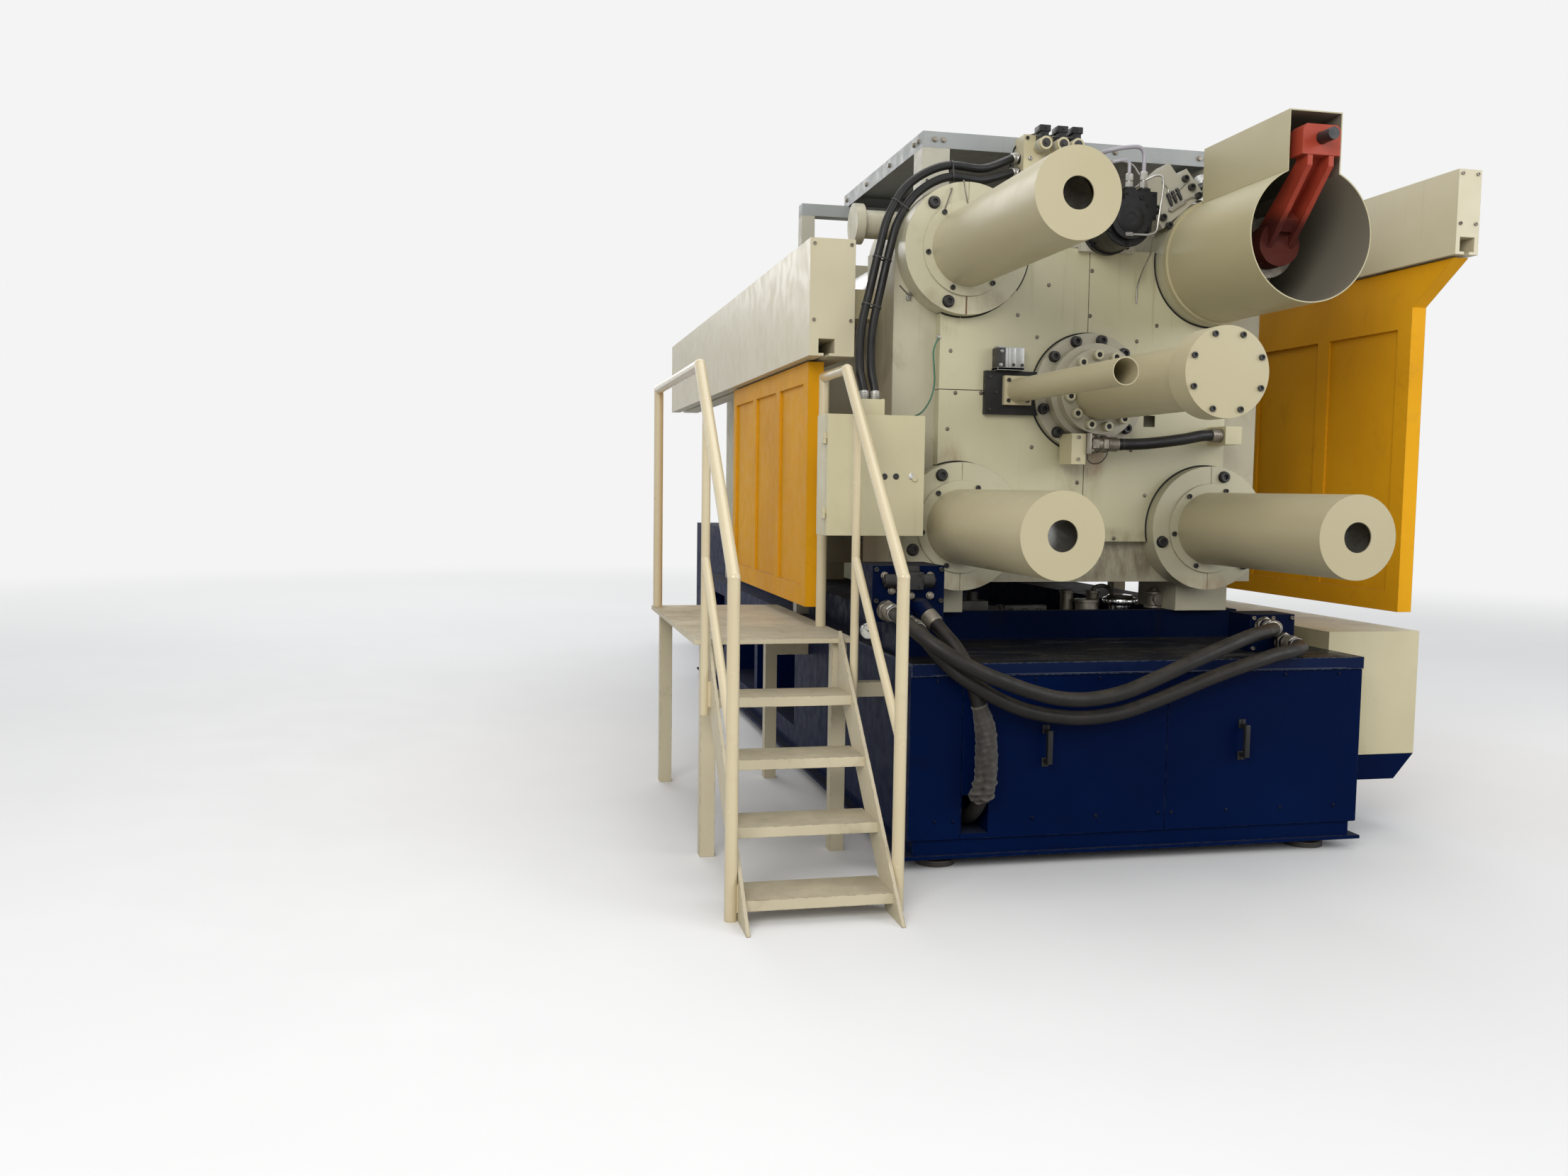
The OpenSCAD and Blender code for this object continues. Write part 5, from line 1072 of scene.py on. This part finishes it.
def ratchet_details():
    b = Piece()
    for dx in (-44, 44):
        for dz in (-44, 44):
            b.socket((-342 + dx, -55, AX + dz), FRONT, 17, 8, spin=dx + dz)
    b.row(((-462, 1845), (-462, 1985), (-434, 1920)), -30, 17, 6)
    b.row(((-372, 2033), (-332, 2033)), -66, 13, 7)
    b.make("ratchet_bolts", "black")
    a = Piece()
    z0, top = 2023, 2106
    a.box(-443, -410, -68, 2, z0, top, 3, mat=1)
    for x0, x1 in ((-409, -400), (-397, -386), (-383, -361), (-358, -322)):
        a.box(x0, x1, -67.5, 1, z0, top, 2.5)
    a.box(-444, -321, -70, 3, 2010.6, 2023, 2)
    a.turned((-430, -68, 2032), FRONT, [(8, -1), (8, 5), (6, 6), (6, 11), (0, 11)], 16)
    a.turned((-427, -68, 2090), FRONT, [(7, -1), (7, 5), (5, 6), (5, 13), (0, 13)], 16)
    a.make("latch_profile", "alloy", "black")


# Mould height motor, manifold and lock block


def fitting(piece, at, axis, d, length):
    """Union on a pipe's end: body hexagon, neck and nut."""
    hexa = hexagon(d / 2)
    piece.turned(at, axis, [(d * 0.36, -1), (d * 0.36, length * 0.06), (hexa, length * 0.07),
                            (hexa, length * 0.40), (d * 0.38, length * 0.43), (d * 0.38, length * 0.47),
                            (hexa, length * 0.50), (hexa, length * 0.92), (d * 0.30, length)], 18, spin=0.2)


def motor_details():
    nickel, black = Piece(), Piece()
    for x, top in ((80, 62), (147, 74)):
        fitting(nickel, (x, -185, 2780), UP, 36, top)
    fitting(nickel, (36, -255, 2573), (1, 0, 0.02), 22, 34)
    fitting(nickel, (22, -120, 2700), (-1, 0, 0.1), 20, 26)
    nickel.make("motor_unions", "nickel")
    y = -242
    black.socket((114, y, 2732), FRONT, 22, 5)
    black.socket((56, y, 2697), FRONT, 30, 6)
    black.row(((47, 2745), (171, 2745), (47, 2655), (171, 2655), (140, 2700)), y, 13, 4)
    black.row(((86, 2606), (150, 2606)), y, 11, 4)
    black.turned((183, -190, 2689), RIGHT,
                 [(13, -1), (13, 6), (9, 8), (9, 13), (12, 15), (13.5, 17), (13.5, 29), (12, 31), (0, 31)],
                 18)
    for k in range(6):
        black.socket(polar(60, 2640, 98, 30 + 60 * k, -230), FRONT, 15, 8, spin=k)
    black.turned((60, -60, 2640), FRONT, [(109, -1), (113, 1), (113, 7), (110, 9)], 48)
    black.turned((60, -215, 2640), FRONT, [(109.5, 0), (112.5, 1.5), (112.5, 8), (109.5, 9.5)], 48)
    black.turned((60, -255, 2640), FRONT, [(60, -0.5), (60, 2), (57, 3.5), (24, 3.5), (22, 1.5), (0, 1.5)],
                 32)
    for k in range(4):
        black.socket(polar(60, 2640, 118, 45 + 90 * k, -60), FRONT, 17, 8, spin=k)
    black.make("motor_fasteners", "motor")
    tag = Piece()
    tag.box(88, 132, -243.2, -241.6, 2600, 2628, 0.5)
    tag.make("motor_bare_plate", "steel")
    big, thin = Piece(), Piece()
    big.sweep(bent([(147, -185, 2845), (147, -185, 2958), (60, -186, 2950), (-20, -150, 2935),
                    (-40, 40, 2925), (-75.5, 60, 2925)], 48), 9, 12)
    big.sweep(bent([(80, -185, 2835), (80, -185, 2902), (20, -178, 2890), (-30, -90, 2884), (-48, 45, 2880),
                    (-75.5, 45, 2880)], 36), 7.5, 12)
    big.make("motor_pipes", "pipe")
    thin.sweep(bent([(68, -255, 2574), (150, -257, 2576), (178, -257, 2590), (206, -252, 2779),
                     (208, -240, 2828), (186, -215, 2834), (139, -190, 2811)], 22), 4.5, 10)
    thin.sweep(bent([(165, -250, 2573), (204, -170, 2524), (222, -66, 2470), (226, -7, 2410),
                     (224, -7, 2330)], 24), 3.5, 8)
    thin.sweep(bent([(124, -190, 2838), (89, -190, 2886), (5, -170, 2896), (-50, -20, 2905),
                     (-75.5, 78, 2905)], 30), 4, 8)
    thin.sweep(bent([(40, -140, 2770), (40, -160, 2810), (20, -120, 2808), (-30, 20, 2862),
                     (-75.5, 95, 2862)], 20), 4, 8)
    thin.make("pilot_pipes", "nickel")


def manifold_details():
    coil, steel, black, shell = Piece(), Piece(), Piece(), Piece()
    for x in (-246, -166, -98):
        coil.turned((x, -60, 2980), FRONT, [(28.2, -56), (29.5, -55), (29.5, -20), (28.2, -19)], 28)
        black.turned((x, -60, 2980), FRONT,
                     [(0, -0.5), (19, -0.5), (19, 3), (17, 5), (10, 5), (9, 9), (0, 9)], 24)
        shell.box(x - 25, x + 25, -50, 16, 3030, 3058, 4)
        shell.box(x - 17.5, x + 17.5, -46, 15, 2996, 3031, 2)
        shell.turned((x, 15, 3044), BACK, [(10, -1), (10, 4), (8, 6), (8, 12), (0, 12)], 14)
        shell.panhead((x, -50, 3044), FRONT, 9)
    black.row(((-300, 3015), (-300, 2845), (-205, 3015), (-205, 2845), (-130, 2845), (-90, 3015),
               (-90, 2845)), 20, 15, 8)
    for x, z, d in ((-262, 2895, 26), (-200, 2895, 26), (-140, 2900, 22), (-285, 2930, 18)):
        steel.socket((x, 20, z), FRONT, d, 7, spin=x)
    for y, z, d, length in ((60, 2925, 30, 30), (45, 2880, 26, 26), (78, 2905, 15, 18), (95, 2862, 15, 18)):
        fitting(steel, (-75, y, z), RIGHT, d, length)
    for z in (2875, 2935):
        steel.turned((-315, 70, z), LEFT, [(hexagon(24), -1), (hexagon(24), 0.2)], 18)
    coil.make("valve_coils", "grey_cream")
    shell.make("valve_connectors", "plate")
    steel.make("manifold_unions", "nickel")
    black.make("manifold_fasteners", "black")
    lead = Piece()
    for x, lift in ((-246, 5), (-166, 8), (-98, 6)):
        lead.sweep(bent([(x, 22, 3044), (x, 50, 3044), (x - 12, 80, 3046), (x - 30, 106, 3036 + lift),
                         (-322, 112, 2990 + lift), (-340, 112, 2900)], 16), 3.6, 8)
    lead.sweep(bent([(-340, 112, 2901), (-342, 112, 2840), (-346, 104, 2790)], 20), 8, 10)
    lead.make("valve_leads", "rubber_dark")


def lock_block_details():
    b, rods = Piece(), Piece()
    b.row(((411, 2869), (443, 2834), (477, 2799), (277, 2731), (311, 2696), (341, 2663)), -52, 31, 20)
    b.row(((485, 2770), (425, 2723), (380, 2665)), -52, 22, 12)
    b.make("lock_block_bolts", "black")
    ends = [((326, -62, 2800), (352, -62, 2745)), ((347, -62, 2812), (374, -62, 2758)),
            ((368, -62, 2824), (397, -62, 2772))]
    for a, c in ends:
        d = Vector(c) - Vector(a)
        rods.turned(a, d, [(0, 0), (6.5, 0), (7.5, 1.5), (7.5, d.length - 12), (5, d.length - 11),
                           (5, d.length)], 14)
        rods.turned(a, d, [(8.4, 8), (8.4, 12)], 14)
    rods.make("lock_pins", "black")
    clamp = Piece()
    a, c = Vector((343, -54, 2730)), Vector((408, -54, 2772))
    u = (c - a).normalized()
    n = Vector((-u.z, 0, u.x))
    clamp.slab([a - n * 9, c - n * 9, c + u * 9, c + n * 9, a + n * 9, a - u * 9], 2, -13)
    for q in (a, c):
        clamp.socket(q + Vector((0, -13, 0)), FRONT, 11, 5)
    clamp.sweep(bent([(300, -58, 2850), (332, -60, 2822), (330, -60, 2800), (352, -60, 2785),
                      (410, -60, 2850)], 12), 3, 8)
    clamp.sweep(bent([(408, -60, 2772), (440, -62, 2790), (470, -62, 2792), (498, -62, 2822),
                      (498, -58, 2870)], 12), 3, 8)
    clamp.make("lock_pin_clamp", "nickel")


def port_block_details():
    s, b = Piece(), Piece()
    x = -70
    b.box(x - 0.5, x + 22, -178, -84, 1655, 1745, 3)
    for dy in (-34, 34):
        for dz in (-30, 30):
            b.socket((x + 22, -131 + dy, 1700 + dz), RIGHT, 18, 13, spin=dy)
    b.turned((x + 22, -130, 1700), RIGHT,
             [(34, -1), (34, 8), (30, 12), (hexagon(37), 13), (hexagon(37), 42), (30, 45), (30, 62),
              (34, 64), (hexagon(38), 66), (hexagon(38), 88), (28.5, 90)], 24)
    b.make("clamp_port_union", "dirty_steel")
    for px, z in ((-103, 1632), (-103, 1726)):
        s.socket((px, -165, z), FRONT, 15, 6, spin=z)
    s.make("port_block_screws", "dirty_steel")
    wire = Piece()
    wire.sweep(bent([(-66, -168, 1668), (-62, -170, 1625), (-38, -170, 1612), (0, -170, 1618),
                     (28, -168, 1650), (34, -160, 1676)], 26), 2.2, 8)
    wire.make("clamp_port_wire", "rubber_dark")


# Valve stand, gauge and what stands on the tank


def hand(piece, at, angle, lift, inner, outer, thick):
    """A mark or needle on a dial; inner and outer are its ends' distances from the middle and half widths."""
    d = Vector((math.cos(angle), 0, math.sin(angle)))
    n = Vector((-math.sin(angle), 0, math.cos(angle)))
    c = Vector(at) + Vector((0, -lift, 0))
    ends = [c + d * r + n * side * w for r, w in (inner, outer) for side in (-1, 1)]
    piece.slab([ends[0], ends[2], ends[3], ends[1]], thick, 0, 1)


def gauge_details():
    case, face = Piece(), Piece()
    at = (-1100, -418, 928)
    case.turned(at, FRONT, [(28.2, -3), (31.5, -3), (32.5, -2), (32.5, 4), (31, 6), (28.6, 6), (28.2, 3.5),
                            (28.2, -3)], 40, closed=False)
    case.make("gauge_bezel", "chrome")
    face.turned(at, FRONT, [(28.1, -1), (28.1, 2.2), (0, 2.2)], 40)
    for k in range(31):
        a = math.radians(225 - 9 * k)
        r0, w = (20.5, 0.8) if k % 5 == 0 else (23, 0.4)
        hand(face, at, a, 2.5, (r0, w), (26, w), 0.5)
    hand(face, at, math.radians(150), 3.2, (-7, 1.4), (23, 0.3), 0.4)
    face.turned(at, FRONT, [(3.4, 2.2), (3.4, 4), (0, 4.4)], 16, 1)
    face.make("gauge_dial", "dial", "black")
    neck = Piece()
    neck.turned((-1084, -404, 957), UP, [(hexagon(12), -2), (hexagon(12), 7)], 18)
    neck.make("gauge_neck", "nickel")


def valve_stand_details():
    b, n = Piece(), Piece()
    for x, z in ((-1031, 1011), (-930, 950)):
        y = -430 if z > 1000 else -420
        n.turned((x, y, z), FRONT, [(38, -1), (41, 1), (41, 9), (hexagon(44), 11), (hexagon(44), 36),
                                    (36, 39)], 24)
    for x, z in ((-930, 1070), (-850, 1070), (-1010, 1090), (-850, 1150), (-1040, 1150)):
        n.turned((x, -430, z), FRONT, [(16, -1), (16, 3), (hexagon(14), 4), (hexagon(14), 16), (8, 18),
                                       (0, 18)], 18)
    b.row(((-1075, 1175), (-805, 1175), (-1075, 1050), (-805, 1050), (-945, 1175), (-870, 1110),
           (-960, 1110)), -430, 20, 12)
    b.box(-1000, -890, -474, -429, 1096, 1166, 4)
    for x, axis in ((-1000, LEFT), (-890, RIGHT)):
        b.turned((x, -452, 1131), axis, [(27, -1), (27, 44), (24, 48), (12, 48), (12, 54), (0, 54)], 24)
    b.box(-985, -905, -462, -440, 1166, 1189, 2)
    for dx in (-40, 40):
        for dz in (-24, 24):
            b.socket((-945 + dx, -474, 1131 + dz), FRONT, 12, 7, spin=dx)
    b.make("valve_stand_fasteners", "black")
    n.make("valve_stand_unions", "dirty_steel")
    r = Piece()
    for x in (650, 745):
        z = 930 if x < 700 else 862
        r.turned((x, -420, z), FRONT, [(38, -1), (41, 1), (41, 8), (hexagon(44), 10), (hexagon(44), 26),
                                       (36, 29)], 24)
    r.row(((604, 966), (786, 966), (604, 836), (695, 966)), -420, 17, 9)
    r.make("return_block_unions", "dirty_steel")


def tank_top_details():
    """Filler cap, valve and small cylinders that stand on the tank between the bed rails."""
    cap, iron = Piece(), Piece()
    cap.turned((326, 260, 812), UP, [(62, -0.5), (62, 8), (52, 12), (52, 150), (66, 158), (78, 160),
                                     (80, 164), (80, 178), (76, 184), (60, 190), (56, 198), (30, 202),
                                     (0, 202)], 40)
    for k in range(24):
        q = polar(0, 0, 80, 15 * k, 0)
        cap.box(326 + q[0] - 2, 326 + q[0] + 2, 260 + q[2] - 2, 260 + q[2] + 2, 977, 989, 0.6)
    cap.make("filler_cap", "chrome")
    for x, y, r, top in ((161, 270, 52, 992), (222, 330, 30, 1030), (88, 330, 30, 1031)):
        iron.turned((x, y, 812), UP, [(r + 10, -0.5), (r + 10, 10), (r, 12), (r, top - 830),
                                      (r + 5, top - 828), (r + 5, top - 815), (r * 0.5, top - 812),
                                      (0, top - 812)], 28)
    iron.sweep(bent([(222, 330, 1000), (222, 330, 1040), (270, 330, 1050), (292, 300, 1040),
                     (292, 262, 1000), (292, 262, 950)], 22), 10, 12)
    iron.make("tank_cylinders", "dirty_steel")
    v = Piece()
    v.turned((505, 262, 949), UP, [(48, -0.5), (48, 10), (36, 14), (36, 60), (44, 64), (44, 76), (20, 80),
                                   (14, 96), (0, 96)], 28)
    v.turned((505, 262, 990), RIGHT, [(28, 0), (28, 58), (34, 60), (34, 74), (18, 76), (18, 88), (0, 88)],
             24)
    v.turned((505, 262, 990), FRONT, [(24, 0), (24, 44), (29, 46), (29, 54), (14, 56), (0, 56)], 24)
    v.make("tank_valve", "dirty_steel")
    low = Piece()
    low.box(-465, -330, 262, 330, 811.5, 985, 4)
    low.turned((-330, 296, 930), RIGHT, [(30, -1), (30, 60), (36, 62), (36, 78), (20, 80), (0, 80)], 24)
    low.turned((-398, 296, 985), UP, [(26, -1), (26, 40), (20, 44), (0, 44)], 24)
    low.box(-250, -40, 262, 300, 811.5, 962, 4)
    for x in (-215, -145, -75):
        low.turned((x, 262, 930), FRONT, [(20, -1), (20, 14), (hexagon(17), 16), (hexagon(17), 28), (0, 30)],
                   18)
    low.make("tank_blocks", "iron")


# Cabinet, loops and leads at the platen's left side


def cabinet_details():
    k = Piece()
    for x, z in ((-998, 1544), (-949, 1545)):
        k.turned((x, -262, z), FRONT, [(13, -0.5), (13, 1.4), (11.5, 3.2), (9, 3.6), (8, 2.6), (0, 2.6)], 24)
    k.make("door_knockouts", "black", body="cabinet_door", slot="black_paint")
    c = Piece()
    c.turned((-883, -262, 1546), FRONT, [(13, -0.5), (13, 2), (11, 4), (8.5, 4), (8, 1.6), (0, 1.6)], 28)
    c.turned((-883, -262, 1546), FRONT, [(5.5, 1.4), (5.5, 3.4), (4.8, 4), (0, 4)], 16)
    c.make("door_lock_ring", "chrome", body="cabinet_door")
    seal = Piece()
    x0, x1, z0, z1, y = -1226, -842, 1316, 1780, -239.8
    for a in ((x0, x1, z0, z0 + 9), (x0, x1, z1 - 9, z1), (x0, x0 + 9, z0 + 9, z1 - 9),
              (x1 - 9, x1, z0 + 9, z1 - 9)):
        seal.box(a[0], a[1], y - 0.3, y + 2.6, a[2], a[3], 1)
    seal.make("door_seal", "rubber_dark", body="cabinet_door")
    g = Piece()
    for x in (-1070, -1022):
        g.turned((x, -175, 1860), UP, [(hexagon(26), -0.6), (hexagon(26), 0.1)], 18)
    for x in (-1094, -996):
        for y in (-212, -138):
            g.panhead((x, y, 1860), UP, 9)
    g.make("gland_box_screws", "nickel")


def side_trim():
    tie = Piece()
    h1, h2 = made["hose_side_1"], made["hose_side_2"]
    for share in (0.24, 0.42, 0.58, 0.72):
        a = h1.at(h1.length * share)
        b = min((h2.at(s) for s in range(0, int(h2.length), 4)), key=lambda q: (q - a).length)
        run = h1.along(h1.length * share)
        u = b - a
        u = (u - run * u.dot(run)).normalized()
        w = run.cross(u)
        gap, r = (b - a).length, 19.3
        band = []
        for start, place in ((math.pi / 2, a), (-math.pi / 2, a + u * gap)):
            for k in range(9):
                t = start + math.pi * k / 8
                band.append(place + (u * math.cos(t) + w * math.sin(t)) * r)
        middle = a + u * gap / 2
        verts = [q + run * e for e in (-3.5, 3.5) for q in band]
        verts += [q + (q - middle).normalized() * 1.3 + run * e for e in (-3.5, 3.5) for q in band]
        n = len(band)
        faces = []
        for i in range(n):
            j = (i + 1) % n
            faces += [(i, j, n + j, n + i), (2 * n + i, 3 * n + i, 3 * n + j, 2 * n + j),
                      (i, 2 * n + i, 2 * n + j, j), (n + i, n + j, 3 * n + j, 3 * n + i)]
        tie.add(verts, faces)
    tie.make("side_hose_ties", "black", slot="black_paint")
    loop = Piece()
    loop.sweep(bent([(-669, -62, 2760), (-669, -74, 2760), (-690, -80, 2705), (-706, -74, 2649),
                     (-706, -62, 2649)], 14), 3, 8)
    loop.sweep(bent([(-618, -62, 2795), (-618, -74, 2795), (-612, -80, 2745), (-597, -76, 2697),
                     (-597, -62, 2697)], 14), 3, 8)
    loop.sweep(bent([(-790, 60, 2330), (-815, 40, 2324), (-845, -10, 2330), (-880, -36, 2352)], 20), 3.2, 8)
    loop.make("flange_loops", "dirty_steel")
    clip = Piece()
    clip.box(-822, -800, 48, 62, 2306, 2340, 2)
    clip.hexhead((-811, 48, 2323), FRONT, 13, 5)
    clip.make("hose_clip", "nickel")
    lead = Piece()
    lead.sweep(bent([(-690, -3.5, 2146), (-700, -4, 2126), (-715, -5, 2089), (-703, -6, 1951),
                     (-720, -8, 1881), (-764, -20, 1819), (-822, -60, 1800), (-828.5, -110, 1790)], 40), 3.6,
               8)
    lead.make("earth_lead", "green")
    lug = Piece()
    lug.hexhead((-690, 0, 2148), FRONT, 17, 7)
    lug.make("earth_screw", "nickel")


def base_trim():
    seam, screws, nuts = Piece(), Piece(), Piece()
    # A thin pale blue strip along the foot of the deck's lip.
    seam.box(-905, 905, -641.2, -638.5, 777.2, 779.4, 0)
    seam.make("deck_lip_bead", "pale_lip_strip")
    for x0, x1 in ((-903, -776), (-770, 101), (107, 903)):
        for z in (752, 196):
            for k in range(2 if x1 - x0 < 300 else 4):
                x = x0 + 26 + (x1 - x0 - 52) * k / (1 if x1 - x0 < 300 else 3)
                if not -775 < x < -650 or z > 300:
                    screws.panhead((x, -631, z), FRONT, 15, spin=k)
    for k in range(7):
        for z in (386, 868):
            screws.panhead((1433, -380 + 260 * k, z), RIGHT, 13, spin=k)
    screws.make("panel_screws", "navy_dull")
    grips = Piece()
    for x in (-424, 436):
        grips.box(x - 11, x + 11, -683, -664, 420, 556, 5)
        for z in (420, 538):
            grips.box(x - 9.5, x + 9.5, -682, -630.5, z, z + 18, 3)
        for z0, z1, zs in ((404, 440, 411), (536, 572, 565)):
            grips.box(x - 15, x + 15, -637, -630.5, z0, z1, 2)
            grips.panhead((x, -637, zs), FRONT, 10)
    grips.make("panel_grips", "plate")
    for x in (-830, 830):
        for y in (-500, 500, 1600, 3100, 4600):
            nuts.hexhead((x, y, 44), UP, 72, 22, washer=0.95)
            nuts.turned((x, y, 19), UP, [(78, -0.2), (78, 3), (60, 5), (32, 6), (30, 12), (0, 12)], 28)
    nuts.make("levelling_nuts", "dirty_steel")


def platen_details():
    holes, eyes, b = Piece(), Piece(), Piece()
    # Tapped holes are shallow near-black discs: painted shade in the holes.
    for y, axis in ((2560, BACK), (3830, FRONT)):
        for x in (-300, -150, 0, 150, 300):
            for z in (1576, 1701, 2151, 2276):
                if x or z > 1800:
                    holes.turned((x, y, z), axis, [(17, 0.2), (15, 0.9), (13.5, 0.4), (0, 0.3)], 18)
    holes.make("tapped_holes", "void")
    for y in (2335, 4055):
        for x in (-470, 470):
            turns = [2 * math.pi * k / 24 for k in range(25)]
            eyes.sweep([Vector((x + 34 * math.sin(t), y, 2852 - 34 * math.cos(t))) for t in turns], 9, 12)
            eyes.turned((x, y, 2800), UP, [(32, -0.5), (32, 8), (16, 12), (13, 22), (0, 24)], 24)
    eyes.make("lifting_eyes", "dirty_steel")
    for x in (-BX, BX):
        for z in (LOW, HIGH):
            for k in range(8):
                b.socket(polar(x, z, 160, 22.5 + 45 * k, 4470), BACK, 32, 18, spin=k)
            b.turned((x, 4530, z), BACK, [(112, -0.5), (112, 6), (108, 9), (40, 9), (36, 4), (0, 4)], 36)
    for k in range(12):
        b.socket(polar(0, 1676, 236, 15 + 30 * k, 5610), BACK, 34, 24, spin=k)
        b.socket(polar(0, 1676, 208, 30 * k, 6710), BACK, 32, 20, spin=k)
    for x in (-405, 405):
        for z in (1215, 1500, 1900):
            b.hexhead((x, 5530, z), BACK, 52, 20)
    b.make("shot_end_bolts", "black")
    v = Piece()
    for y in (5860, 6260):
        v.turned((500, y, 2893), UP, [(34, -6), (34, 16), (hexagon(34), 18), (hexagon(34), 38), (16, 42),
                                  (16, 58), (10, 62), (0, 62)], 24)
        v.turned((500, y, 1150), UP, [(182, 0.3), (182, 16), (178, 20), (163, 20)], 48)
    v.make("bottle_heads", "dirty_steel")


def roof_and_beam_trim():
    b = Piece()
    for x in (-660, -620, 620, 660, -200, 200):
        b.hexhead((x, 200, 3030), FRONT, 22, 8)
    for s in (-1, 1):
        for y in (260, 320, 700, 1100, 1480):
            b.hexhead((s * 713, y, 3030), (s, 0, 0), 22, 8)
    for x, z in ((1418, 2846), (1492, 2846), (1418, 2640), (1492, 2640)):
        b.socket((x, -542, z), FRONT, 15, 6)
    for x, z in ((-1242, 2516), (-1082, 2516), (-1242, 2200), (-1082, 2200)):
        b.socket((x, 0, z), FRONT, 15, 6)
    b.make("roof_and_beam_bolts", "dirty_steel")


for trim in (seal_lips_and_shadow, base_trim, platen_details, roof_and_beam_trim, flange_bolts, hub_bolts, cover_screws,
             ratchet_details, motor_details, manifold_details, lock_block_details, port_block_details,
             gauge_details, valve_stand_details, tank_top_details, cabinet_details, side_trim):
    trim()
